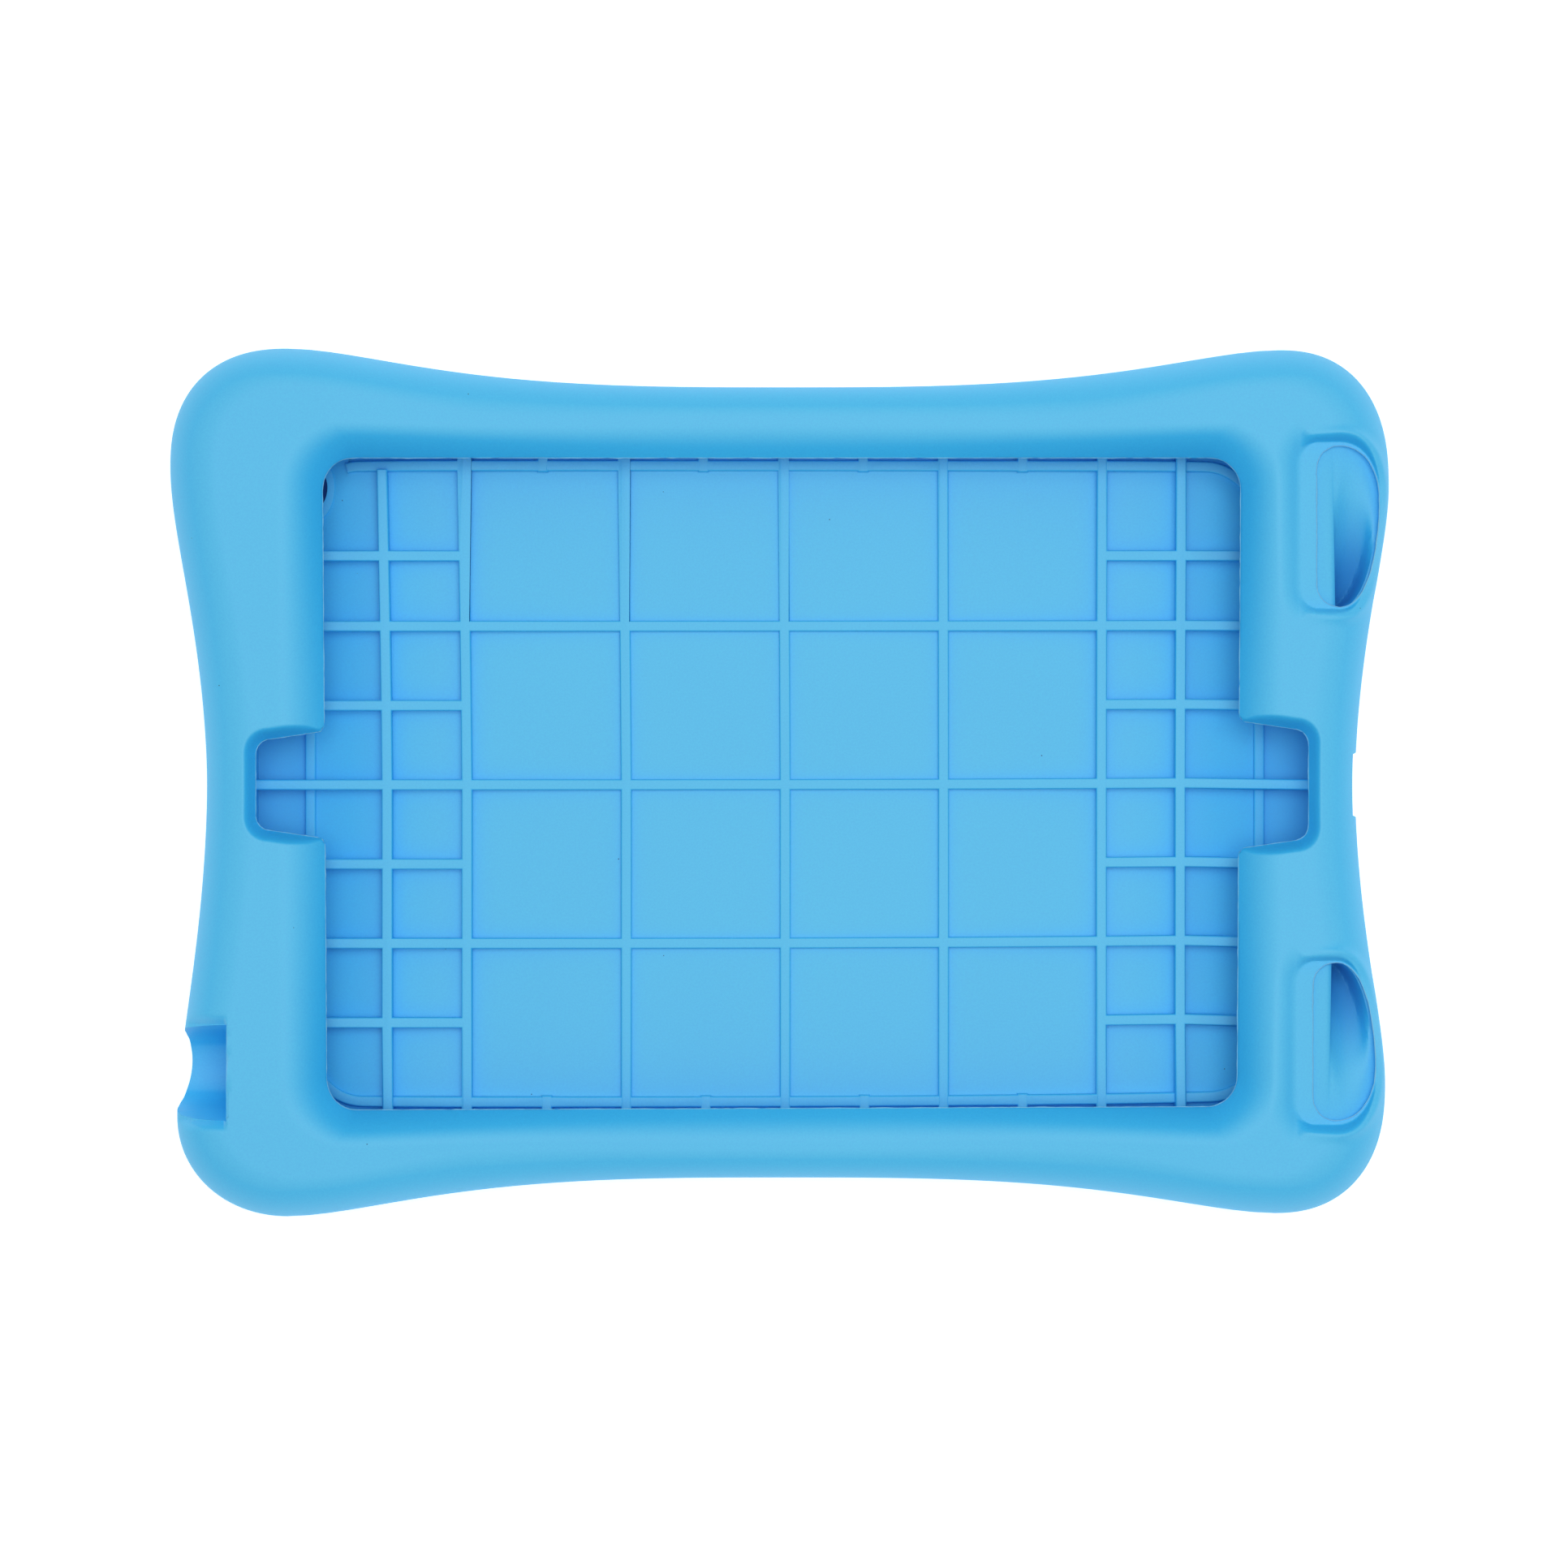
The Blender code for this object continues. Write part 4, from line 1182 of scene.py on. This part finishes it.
    def frame_rib(self, workshop: Workshop) -> bpy.types.Object:
        """The rib that runs round the floor, left open round the camera hole."""
        bm = bmesh.new()
        half = self.rib_width / 2
        outer = (self.frame_half[0] + half, self.frame_half[1] + half)
        outline = centred_box(outer, self.frame_corner + half)
        verts = [bm.verts.new((x, y, -OVERCUT)) for x, y in outline]
        base = bmesh.ops.contextual_create(bm, geom=verts)["faces"]
        bmesh.ops.inset_region(
            bm, faces=base, thickness=self.rib_width, use_boundary=True, use_even_offset=True
        )
        bmesh.ops.delete(bm, geom=base, context="FACES_ONLY")
        grow(bm, bm.faces[:], (0, 0, OVERCUT + self.frame_rise))
        crest = [
            edge
            for edge in bm.edges
            if all(vert.co.z > 0 for vert in edge.verts)
            and any(face.normal.z < 0.5 for face in edge.link_faces)
            and edge.calc_face_angle(0) > 1
        ]
        soften(bm, crest, self.edge_round)
        self.lift(bm, 2)
        for vert in bm.verts:
            usual = self.floor(vert.co.x)
            if vert.co.z > usual:
                vert.co.z += self.frame_top(vert.co.x) - usual - self.frame_rise
        solid = workshop.solid(bm, "frame_rib")
        workshop.combine(solid, Operation.CUT, self.camera.clearing_gap(workshop))
        return solid

    def space(self, workshop: Workshop) -> bpy.types.Object:
        """The space inside the case: the pocket down to its floor, less the ribs."""
        bm = bmesh.new()
        outline = centred_box((TABLET.half_length, TABLET.half_width), TABLET.corner)
        add_prism(bm, outline, 0.0, POCKET_TOP)
        fold(bm, self.fold_lines(1))
        for vert in bm.verts:
            if vert.co.z < POCKET_TOP / 2:
                vert.co.z = self.floor(vert.co.x) - self.moat_depth
        solid = workshop.solid(bm, "pocket_space")
        moat = self.floor(self.camera.centre.x) - self.moat_depth
        for taken in (
            self.raised_floor(workshop),
            self.frame_rib(workshop),
            self.ribs_across(workshop),
            self.ribs_along(workshop),
            self.stubs(workshop),
            self.camera.collar_ring(workshop, moat),
        ):
            workshop.combine(solid, Operation.CUT, taken)
        self.flex.bend(solid)
        return solid


@dataclass
class Bumper:
    """The padded body, lofted from section to section round the case."""

    short_steps: int = 96
    right_steps: int = 56
    left_steps: int = 36
    long_steps: int = 24
    lower_rows: int = 6
    upper_rows: int = 36
    plateau_rows: int = 16
    slope_rows: int = 20
    fine_cuts: int = 2
    window_trim: float = 0.0008

    def quarter(self, corner: PaddedCorner) -> list[Station]:
        """Stations from the middle of a short side round the corner to that of a long side.

        Args:
            corner: the quarter's corner.

        Returns:
            The stations in order.
        """
        waist_x, waist_y = corner.waist
        window_x, window_y = corner.window
        end_x, end_y = corner.end
        widest_x, widest_y = corner.widest
        radius = SECTION.window_corner + self.window_trim
        straight_x, straight_y = window_x - radius, window_y - radius
        crown_end, slope_end = SECTION.crown_corner, SECTION.slope_short
        rows = []
        for step in range(self.short_steps):
            share = step / self.short_steps
            rise = side_rise(share, SECTION.short_powers)
            outer = (blend(waist_x, end_x, rise), widest_y * share)
            crown = blend(SECTION.crown_short, crown_end, rise)
            rows.append((outer, (window_x, straight_y * share), crown, slope_end))
        steps = self.right_steps if corner.side_x is Side.POSITIVE else self.left_steps
        for outer, (run, rise) in zip(corner.outer_arc(steps), quarter_turn(steps)):
            inner = (straight_x + radius * run, straight_y + radius * rise)
            rows.append((outer, inner, crown_end, slope_end))
        for step in range(1, self.long_steps + 1):
            share = 1 - step / self.long_steps
            rise = side_rise(share, SECTION.long_powers)
            outer = (widest_x * share, blend(waist_y, end_y, rise))
            crown = blend(SECTION.crown_long, crown_end, rise)
            slope = blend(SECTION.slope_long, slope_end, rise)
            rows.append((outer, (straight_x * share, window_y), crown, slope))
        flip_x, flip_y = corner.side_x.value, corner.side_y.value
        return [
            Station((outer_x * flip_x, outer_y * flip_y), (inner_x * flip_x, inner_y * flip_y), *heights)
            for (outer_x, outer_y), (inner_x, inner_y), *heights in rows
        ]

    def stations(self) -> list[Station]:
        """Stations once round the case, anticlockwise from the middle of the right side."""
        upper_right, upper_left, lower_left, lower_right = map(self.quarter, CORNERS)
        return upper_right[:-1] + upper_left[:0:-1] + lower_left[:-1] + lower_right[:0:-1]

    def section(self, station: Station) -> list[Vector]:
        """One section's points, from the edge of the underside over the crown to the window.

        Args:
            station: where the section is.

        Returns:
            The points in order.
        """
        outer, inner = Vector(station.outer), Vector(station.inner)
        width = (inner - outer).length
        inward = (inner - outer) / width
        base = back_height(outer.x)
        side = blend(base, station.crown, SECTION.side_level)
        room = width - station.slope
        outer_round = min(SECTION.outer_round, room * (1 - SECTION.plateau_share))
        profile = []
        for run, rise in reversed(quarter_turn(self.lower_rows)[1:]):
            profile.append((SECTION.lower_round * (1 - run), side - (side - base) * rise))
        for run, rise in quarter_turn(self.upper_rows)[:-1]:
            profile.append((outer_round * (1 - run), side + (station.crown - side) * rise))
        for step in range(self.plateau_rows):
            profile.append((blend(outer_round, room, step / self.plateau_rows), station.crown))
        for step in range(self.slope_rows + 1):
            share = step / self.slope_rows
            drop = (station.crown - LIP_TOP) * share**2
            profile.append((blend(room, width, share), station.crown - drop))
        profile.append((width + self.window_trim, LIP_TOP - self.window_trim))
        return [Vector((*(outer + inward * out), height)) for out, height in profile]

    def build(self, workshop: Workshop, features: Iterable[object]) -> bpy.types.Object:
        """The solid body with the soft recesses in its skin.

        Args:
            workshop: where the solid is made.
            features: what sinks into the skin, each with a method named lower.

        Returns:
            The body.
        """
        sections = [self.section(station) for station in self.stations()]
        count, rows = len(sections), len(sections[0]) - 1
        bm = bmesh.new()
        bent_grid(bm, count, rows, lambda column, row: sections[column % count][row])
        bmesh.ops.remove_doubles(bm, verts=bm.verts, dist=TINY)
        self.refine(bm, features)
        points = np.array([tuple(vert.co) for vert in bm.verts])
        for feature in features:
            feature.lower(points)
        for vert, point in zip(bm.verts, points):
            vert.co = point
        self.close_underside(bm)
        top = [e for e in bm.edges if e.is_boundary and e.verts[0].co.z > PORT_LEVEL]
        bmesh.ops.holes_fill(bm, edges=top)
        return workshop.solid(bm, "bumper")

    def refine(self, bm: bmesh.types.BMesh, features: Iterable[object]) -> None:
        """Cuts the skin finer where a feature bends it sharply.

        Args:
            bm: the skin.
            features: what will sink into it, each with a method named band.
        """
        points = np.array([tuple(vert.co) for vert in bm.verts])
        sharp = np.zeros(len(points), dtype=bool)
        for feature in features:
            sharp |= feature.band(points)
        chosen = {vert for vert, picked in zip(bm.verts, sharp) if picked}
        edges = [edge for edge in bm.edges if chosen.issuperset(edge.verts)]
        bmesh.ops.subdivide_edges(bm, edges=edges, cuts=self.fine_cuts, use_grid_fill=True)

    def close_underside(self, bm: bmesh.types.BMesh) -> None:
        """Bridges the long sides' lower edges with the arch, and fills the two end pads."""
        open_edges = [e for e in bm.edges if e.is_boundary and e.verts[0].co.z < PORT_LEVEL]
        reach = min(corner.widest[0] for corner in CORNERS)
        arch = []
        for edge in open_edges:
            run = edge.verts[0].co - edge.verts[1].co
            if all(abs(vert.co.x) < reach + TINY for vert in edge.verts) and abs(run.y) < abs(run.x):
                arch.append(edge)
        bmesh.ops.bridge_loops(bm, edges=arch)
        rest = [e for e in bm.edges if e.is_boundary and e.verts[0].co.z < PORT_LEVEL]
        bmesh.ops.holes_fill(bm, edges=rest)


@dataclass
class NodeBench:
    """Adds nodes to a material, each with its settings, values and links."""

    tree: bpy.types.NodeTree

    def feed(self, node: bpy.types.Node, inputs: dict[str | int, object]) -> None:
        """Sets inputs to plain values, or links them to another node's outputs."""
        for socket, value in inputs.items():
            if isinstance(value, bpy.types.NodeSocket):
                self.tree.links.new(value, node.inputs[socket])
            else:
                node.inputs[socket].default_value = value

    def add(self, kind: str, output: str | int, inputs: dict[str | int, object]) -> bpy.types.NodeSocket:
        """Adds a node that needs no settings.

        Args:
            kind: its type.
            output: which of its outputs is wanted.
            inputs: a value or an output for each of its inputs.

        Returns:
            The output.
        """
        node = self.tree.nodes.new(kind)
        self.feed(node, inputs)
        return node.outputs[output]

    def attribute(self, name: str) -> bpy.types.NodeSocket:
        """The mesh's attribute of this name, as one number."""
        node = self.tree.nodes.new("ShaderNodeAttribute")
        node.attribute_name = name
        return node.outputs["Fac"]

    def noise(self, place: bpy.types.NodeSocket, scale: float, detail: float) -> bpy.types.NodeSocket:
        """A soft noise at this place."""
        return self.add("ShaderNodeTexNoise", "Fac", {"Vector": place, "Scale": scale, "Detail": detail})

    def math(self, operation: str, *values: object) -> bpy.types.NodeSocket:
        """The result of one operation on values or outputs."""
        node = self.tree.nodes.new("ShaderNodeMath")
        node.operation = operation
        self.feed(node, dict(enumerate(values)))
        return node.outputs[0]

    def mix(self, share: bpy.types.NodeSocket, start: object, end: object) -> bpy.types.NodeSocket:
        """The colour at this share of the way between two colours or outputs."""
        node = self.tree.nodes.new("ShaderNodeMix")
        node.data_type = "RGBA"
        colours = {"A": start, "B": end}
        for socket, value in colours.items():
            if isinstance(value, tuple):
                colours[socket] = (*value, 1)
        self.feed(node, {"Factor": share, **colours})
        return node.outputs["Result"]


@dataclass(frozen=True)
class Silicone:
    """Soft blue silicone: a matte skin with a fine grain, faint clouding and a little dust, painted paler
    as sheen on open surfaces and darker as shade in its depths.
    """

    name: str = "matte_blue_silicone"
    light: Colour = (0.039, 0.550, 0.985)
    deep: Colour = (0.034, 0.512, 0.960)
    # Paler colours for the painted sheen.
    sheen_light: Colour = (0.108, 0.625, 1.0)
    sheen_deep: Colour = (0.098, 0.585, 0.980)
    # Colour of the painted shade.
    painted_shade: Colour = (0.040, 0.330, 0.700)
    roughness: float = 0.56
    specular: float = 0.50
    ior: float = 1.5
    cloud_share: float = 0.8
    grain_share: float = 2.2
    grain_scale: float = 2600.0
    grain_detail: float = 1.0
    grain_depth: float = 0.00002
    grain_strength: float = 0.35
    gloss_range: Plan = (-0.05, 0.07)
    cloud_scale: float = 22.0
    cloud_detail: float = 2.0
    speck_scale: float = 130.0
    speck_size: float = 0.016
    speck_colour: Colour = (0.02, 0.12, 0.26)

    def material(self) -> bpy.types.Material:
        """Builds the material from nodes.

        Returns:
            The material.
        """
        made = bpy.data.materials.new(self.name)
        made.use_nodes = True
        nodes = NodeBench(made.node_tree)
        place = nodes.add("ShaderNodeTexCoord", "Object", {})
        cloud = nodes.noise(place, self.cloud_scale, self.cloud_detail)
        grain = nodes.noise(place, self.grain_scale, self.grain_detail)
        balance = (1 - self.cloud_share - self.grain_share) / 2
        clouded = nodes.math("MULTIPLY_ADD", cloud, self.cloud_share, balance)
        mottled = nodes.math("MULTIPLY_ADD", grain, self.grain_share, clouded)
        # Painted sheen: paler where its mesh layer says so.
        sheen = nodes.attribute(SHEEN_LAYER)
        deep = nodes.mix(sheen, self.deep, self.sheen_deep)
        light = nodes.mix(sheen, self.light, self.sheen_light)
        # Painted shade: darker where its mesh layer says so.
        shade_mixed = nodes.mix(nodes.attribute(SHADE_LAYER), nodes.mix(mottled, deep, light), self.painted_shade)
        dust = nodes.add("ShaderNodeTexVoronoi", "Distance", {"Vector": place, "Scale": self.speck_scale})
        speck = nodes.math("LESS_THAN", dust, self.speck_size)
        bump = {"Strength": self.grain_strength, "Distance": self.grain_depth, "Height": grain}
        least, most = self.gloss_range
        gloss = {"Value": grain, "To Min": self.roughness + least, "To Max": self.roughness + most}
        skin = {
            "Base Color": nodes.mix(speck, shade_mixed, self.speck_colour),
            "Roughness": nodes.add("ShaderNodeMapRange", "Result", gloss),
            "Normal": nodes.add("ShaderNodeBump", "Normal", bump),
            "Specular IOR Level": self.specular,
            "IOR": self.ior,
        }
        nodes.feed(made.node_tree.nodes["Principled BSDF"], skin)
        return made


CASE_SILICONE = Silicone()
THREAD_SILICONE = Silicone(
    name="parting_line_silicone", light=(0.22, 0.60, 0.88), deep=(0.17, 0.55, 0.84), speck_size=0.0
)


@dataclass
class PartingLine:
    """The thin light line that the mould leaves along its edges: a slightly uneven thread."""

    radius: float = 0.00011
    thickness: Plan = (0.7, 1.25)
    unevenness: float = 0.00003
    step: float = 0.0011
    fewest: int = 8

    def resample(self, points: list[Vector]) -> list[Vector]:
        """Spaces points evenly along a closed line and nudges them a little."""
        closed = np.array([tuple(p) for p in points + points[:1]])
        run = np.concatenate([[0.0], np.cumsum(np.linalg.norm(np.diff(closed, axis=0), axis=1))])
        even = np.linspace(0, run[-1], max(int(run[-1] / self.step), self.fewest), endpoint=False)
        placed = np.stack([np.interp(even, run, closed[:, axis]) for axis in range(3)], axis=1)
        return [Vector(p) + Vector((self.nudge(), self.nudge(), 0)) for p in placed]

    def nudge(self) -> float:
        """One small random offset."""
        return random.gauss(0, self.unevenness)

    def build(self, loops: list[list[Vector]], place: Vector) -> bpy.types.Object:
        """Makes the threads along closed lines.

        Args:
            loops: the lines' points.
            place: from the tablet's middle to the frame's origin.

        Returns:
            One mesh with all the threads.
        """
        curve = bpy.data.curves.new("parting_line", "CURVE")
        curve.dimensions = "3D"
        curve.bevel_depth = self.radius
        curve.bevel_resolution = 1
        for loop in loops:
            points = self.resample(loop)
            spline = curve.splines.new("POLY")
            spline.points.add(len(points) - 1)
            for slot, point in zip(spline.points, points):
                slot.co = (*(point + place), 1)
                slot.radius = random.uniform(*self.thickness)
            spline.use_cyclic_u = True
        drawn = bpy.data.objects.new("parting_line_curve", curve)
        bpy.context.scene.collection.objects.link(drawn)
        graph = bpy.context.evaluated_depsgraph_get()
        mesh = bpy.data.meshes.new_from_object(drawn.evaluated_get(graph))
        bpy.data.objects.remove(drawn)
        bpy.data.curves.remove(curve)
        made = bpy.data.objects.new("parting_lines", mesh)
        bpy.context.scene.collection.objects.link(made)
        mesh.shade_smooth()
        mesh.materials.clear()
        mesh.materials.append(THREAD_SILICONE.material())
        return made


@dataclass
class Case:
    """The whole case: the body with its recesses, openings and ribbed pocket."""

    smooth_angle: float = math.radians(38)
    line_sink: float = 0.00006
    mouth_steps: int = 60
    # Painted sheen: how far a surface must face up, and how much the outward upper sides get.
    sheen_tilt: float = 0.76
    sheen_tilt_ends: float = 0.56
    rim_sheen: float = 0.60
    rim_tilt: float = 0.50
    rim_turn: float = 0.15
    rim_low: float = 0.0090
    rim_over: float = 0.0040
    # Painted shade towards both ends of the pocket.
    end_from: float = 0.0860
    end_over: float = 0.0100
    end_shade: float = 0.45
    # The painted sheen fades out below these heights.
    sheen_low: float = 0.0024
    sheen_high: float = 0.0042
    camera: CameraHole = field(default_factory=CameraHole)
    plug: PlugScoop = field(default_factory=PlugScoop)
    port: ChargingPort = field(default_factory=ChargingPort)
    bumper: Bumper = field(default_factory=Bumper)
    scoops: tuple[SpeakerScoop, ...] = (
        SpeakerScoop("upper_scoop", UPPER_RIGHT),
        SpeakerScoop("lower_scoop", LOWER_RIGHT),
    )
    notches: tuple[LipNotch, ...] = (
        LipNotch("notch_right", Side.POSITIVE, 0.0127, 0.0118),
        LipNotch("notch_left", Side.NEGATIVE, 0.0125, 0.0099),
    )
    flex: Flex = field(default_factory=Flex)
    lines: list[list[Vector]] = field(default_factory=list)

    @property
    def window_low(self) -> Plan:
        """Lowest x and y of the window."""
        return SECTION.lip_left - TABLET.half_length, SECTION.lip_lower - TABLET.half_width

    @property
    def window_high(self) -> Plan:
        """Highest x and y of the window."""
        return TABLET.half_length - SECTION.lip_right, TABLET.half_width - SECTION.lip_upper

    def window_outline(self) -> list[Plan]:
        """The window's outline without the notches, anticlockwise from its upper right corner."""
        return rounded_box(self.window_low, self.window_high, SECTION.window_corner)

    def window(self, workshop: Workshop) -> bpy.types.Object:
        """The solid that opens the window through the lip."""
        bm = bmesh.new()
        add_prism(bm, self.window_outline(), PORT_LEVEL, SKY)
        return workshop.solid(bm, "window")

    def trace(self, body: bpy.types.Object) -> None:
        """Notes where the parting lines run: round the window, and round both scoops' mouths.

        Args:
            body: the body before it is cut.
        """
        window = self.window_outline()
        half = len(window) // 2
        right, left = (notch.outline()[1:-1] for notch in self.notches)
        edge = window[:half] + left + window[half:] + right[::-1]
        self.lines.append([Vector((x, y, LIP_TOP - self.line_sink)) for x, y in edge])
        skin = bmesh.new()
        skin.from_mesh(body.data)
        tree = BVHTree.FromBMesh(skin)
        for scoop in self.scoops:
            mouth = [Vector((x, y, SKY)) for x, y in scoop.outline(steps=self.mouth_steps)]
            self.lines.append([tree.ray_cast(point, Vector((0, 0, -1)))[0] for point in mouth])
        skin.free()

    def build(self, workshop: Workshop, place: Vector) -> bpy.types.Object:
        """The finished moulding, in the frame's place.

        Args:
            workshop: where its helper solids are made.
            place: from the tablet's middle to the frame's origin.

        Returns:
            The moulding.
        """
        body = self.bumper.build(workshop, (*self.scoops, *self.notches, self.plug))
        self.trace(body)
        cuts = [self.window(workshop)]
        cuts += [notch.cutter(workshop) for notch in self.notches]
        cuts.append(Pocket(self.camera).space(workshop))
        for scoop in self.scoops:
            cuts += [scoop.mouth(workshop), scoop.slot(workshop)]
        cuts += [self.plug.scoop(workshop), self.plug.hole(workshop), self.port.cutter(workshop)]
        cuts.append(self.camera.hole(workshop))
        for cut in cuts:
            name = cut.name
            workshop.combine(body, Operation.CUT, cut)
            log.info("cut %s: %d faces", name, len(body.data.polygons))
        return self.finish(workshop, body, place)

    def paint_sheen(self, mesh: bpy.types.Mesh) -> None:
        """Writes painted sheen and painted shade on the skin: sheen most on level, open surfaces, shade
        deep in the scoops' grooves and towards the pocket's ends.

        Args:
            mesh: the moulding's mesh, shaded, still round the tablet's middle.
        """
        count = len(mesh.loops)
        normals, corners = np.empty(count * 3), np.empty(count, dtype=np.int32)
        mesh.corner_normals.foreach_get("vector", normals)
        mesh.loops.foreach_get("vertex_index", corners)
        heights = np.empty(len(mesh.vertices) * 3)
        mesh.vertices.foreach_get("co", heights)
        spots, facing = heights.reshape(-1, 3), normals.reshape(-1, 3)
        plan, rise = spots[corners, :2], spots[corners, 2]
        # Painted sheen: paler on surfaces that face up and on the outward upper sides, fading out low
        # down.
        turned = np.abs(facing[:, :2])
        endwise = turned[:, 0] / (turned.sum(axis=1) + TINY)
        tilt = self.sheen_tilt + (self.sheen_tilt_ends - self.sheen_tilt) * endwise
        level = smooth((facing[:, 2] - tilt) / (1 - tilt))
        outward = (facing[:, :2] * plan).sum(axis=1) / (np.linalg.norm(plan, axis=1) + TINY)
        rim = self.rim_sheen * smooth(outward / self.rim_turn) * smooth(facing[:, 2] / self.rim_tilt)
        rim *= smooth((rise - self.rim_low) / self.rim_over)
        deep = smooth((rise - self.sheen_low) / (self.sheen_high - self.sheen_low))
        sheen = mesh.attributes.new(SHEEN_LAYER, "FLOAT", "CORNER")
        sheen.data.foreach_set("value", np.maximum(level, rim) * deep)
        # Painted shade: darker towards both ends on points low inside the tablet's outline, and deep in
        # the scoops' grooves.
        far = smooth((np.abs(spots[:, 0]) - self.end_from) / self.end_over)
        reach = (TABLET.half_length + TINY, TABLET.half_width + TINY)
        inside = (np.abs(spots[:, :2]) < reach).all(axis=1)
        shade_amount = self.end_shade * far * inside * (spots[:, 2] < RIB_TOP - SECTION.lip_edge)
        for scoop in self.scoops:
            shade_amount = np.maximum(shade_amount, scoop.depth_shade(spots))
        painted_shade = mesh.attributes.new(SHADE_LAYER, "FLOAT", "POINT")
        painted_shade.data.foreach_set("value", shade_amount)

    def finish(self, workshop: Workshop, body: bpy.types.Object, place: Vector) -> bpy.types.Object:
        """Lets the lip creep, shades the moulding smooth, moves it to its place and dresses it.

        Args:
            workshop: whose bench the moulding leaves.
            body: the moulding.
            place: from the tablet's middle to the frame's origin.

        Returns:
            The moulding.
        """
        points = read_points(body)
        self.flex.creep(points, self.window_low, self.window_high)
        write_points(body, points)
        for line in self.lines:
            spots = np.array([tuple(point) for point in line])
            self.flex.creep(spots, self.window_low, self.window_high)
            line[:] = [Vector(spot) for spot in spots]
        body.data.shade_smooth()
        body.data.set_sharp_from_angle(angle=self.smooth_angle)
        self.paint_sheen(body.data)
        body.data.transform(Matrix.Translation(place))
        body.name = "silicone_shell"
        body.data.materials.clear()
        body.data.materials.append(CASE_SILICONE.material())
        workshop.bench.objects.unlink(body)
        bpy.context.scene.collection.objects.link(body)
        return body


@dataclass
class Studio:
    """A pale plain floor, soft light from all round and a camera straight above."""

    height: float = 0.9565
    view: Plan = (0.00085, -0.00030)
    width_in_view: float = 0.29645
    at_distance: float = 0.9500
    sensor: float = 36.0
    floor_size: float = 3.0
    floor_tone: float = 0.90
    floor_roughness: float = 0.9
    floor_gloss: float = 0.1
    floor_gap: float = 0.0002
    floor_glow: float = 0.60
    # Faint blue glow of the painted shadow under the case.
    painted_shadow_glow: Colour = (0.004, 0.020, 0.100)
    unlit_half: Plan = (0.1030, 0.0705)
    sky_strength: float = 0.42
    key_strength: float = 6.0
    key_place: tuple[float, float, float] = (0.08, 0.12, 1.15)
    key_size: float = 0.8

    def build(self) -> None:
        """Sets up the floor, the light and the camera."""
        self.floor()
        self.light()
        self.camera()

    def floor(self) -> None:
        """The floor, just under the case."""
        bm = bmesh.new()
        bmesh.ops.create_grid(bm, x_segments=1, y_segments=1, size=self.floor_size / 2)
        bmesh.ops.translate(bm, verts=bm.verts, vec=(0, 0, -self.floor_gap))
        mesh = bpy.data.meshes.new("studio_floor")
        bm.to_mesh(mesh)
        bm.free()
        made = bpy.data.objects.new("studio_floor", mesh)
        bpy.context.scene.collection.objects.link(made)
        paint = bpy.data.materials.new("studio_paper")
        paint.use_nodes = True
        nodes = NodeBench(paint.node_tree)
        outside = self.outside_case(nodes)
        paper = {
            # Under the case the floor is painted shadow: black, with only a faint blue glow.
            "Base Color": nodes.math("MULTIPLY", outside, self.floor_tone),
            "Roughness": self.floor_roughness,
            "Specular IOR Level": self.floor_gloss,
            "Emission Color": nodes.mix(outside, self.painted_shadow_glow, (self.floor_glow,) * 3),
            "Emission Strength": 1.0,
        }
        nodes.feed(paint.node_tree.nodes["Principled BSDF"], paper)
        mesh.materials.append(paint)

    def outside_case(self, nodes: NodeBench) -> bpy.types.NodeSocket:
        """1 on the floor round the case and 0 under it, where the floor is painted shadow: black, glowing
        only a faint blue instead of white.
        """
        place = nodes.add("ShaderNodeTexCoord", "Object", {})
        past = []
        for axis, half in zip("XY", self.unlit_half):
            away = nodes.add("ShaderNodeSeparateXYZ", axis, {"Vector": place})
            past.append(nodes.math("GREATER_THAN", nodes.math("ABSOLUTE", away), half))
        return nodes.math("MAXIMUM", *past)

    def light(self) -> None:
        """White light from all round, and a soft box from the upper right."""
        world = bpy.data.worlds.new("studio_sky")
        world.use_nodes = True
        sky = world.node_tree.nodes["Background"]
        sky.inputs["Color"].default_value = (1.0, 1.0, 1.0, 1.0)
        sky.inputs["Strength"].default_value = self.sky_strength
        bpy.context.scene.world = world
        lamp = bpy.data.lights.new("soft_box", "AREA")
        lamp.energy = self.key_strength
        lamp.size = self.key_size
        made = bpy.data.objects.new("soft_box", lamp)
        made.location = self.key_place
        made.rotation_euler = Vector(self.key_place).to_track_quat("Z", "Y").to_euler()
        bpy.context.scene.collection.objects.link(made)

    def camera(self) -> None:
        """The camera, straight above the case."""
        data = bpy.data.cameras.new("camera")
        data.sensor_width = self.sensor
        data.lens = self.sensor * self.at_distance / self.width_in_view
        made = bpy.data.objects.new("camera", data)
        made.location = (*self.view, self.height)
        bpy.context.scene.collection.objects.link(made)
        bpy.context.scene.camera = made
        bpy.context.scene.view_settings.view_transform = "Standard"


def tablet_place() -> Vector:
    """Where the tablet's middle lies in the frame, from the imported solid's box."""
    low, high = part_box("case_shell")
    left = -max(corner.end[0] for corner in CORNERS if corner.side_x is Side.NEGATIVE)
    lower = -max(corner.end[1] for corner in CORNERS if corner.side_y is Side.NEGATIVE)
    return Vector((low[0] - left, low[1] - lower, 0.0))


def main() -> None:
    """Builds the studio and the case, and reports each piece."""
    logging.basicConfig(level=logging.INFO, format="%(name)s: %(message)s")
    random.seed(SEED)
    Studio().build()
    workshop = Workshop()
    case = Case()
    shell = case.build(workshop, tablet_place())
    workshop.close()
    threads = PartingLine().build(case.lines, tablet_place())
    for piece in (shell, threads):
        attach(piece, "root")
        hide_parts("case_shell")
        log.info("%s: %d faces", piece.name, len(piece.data.polygons))


if __name__ == "__main__":
    main()
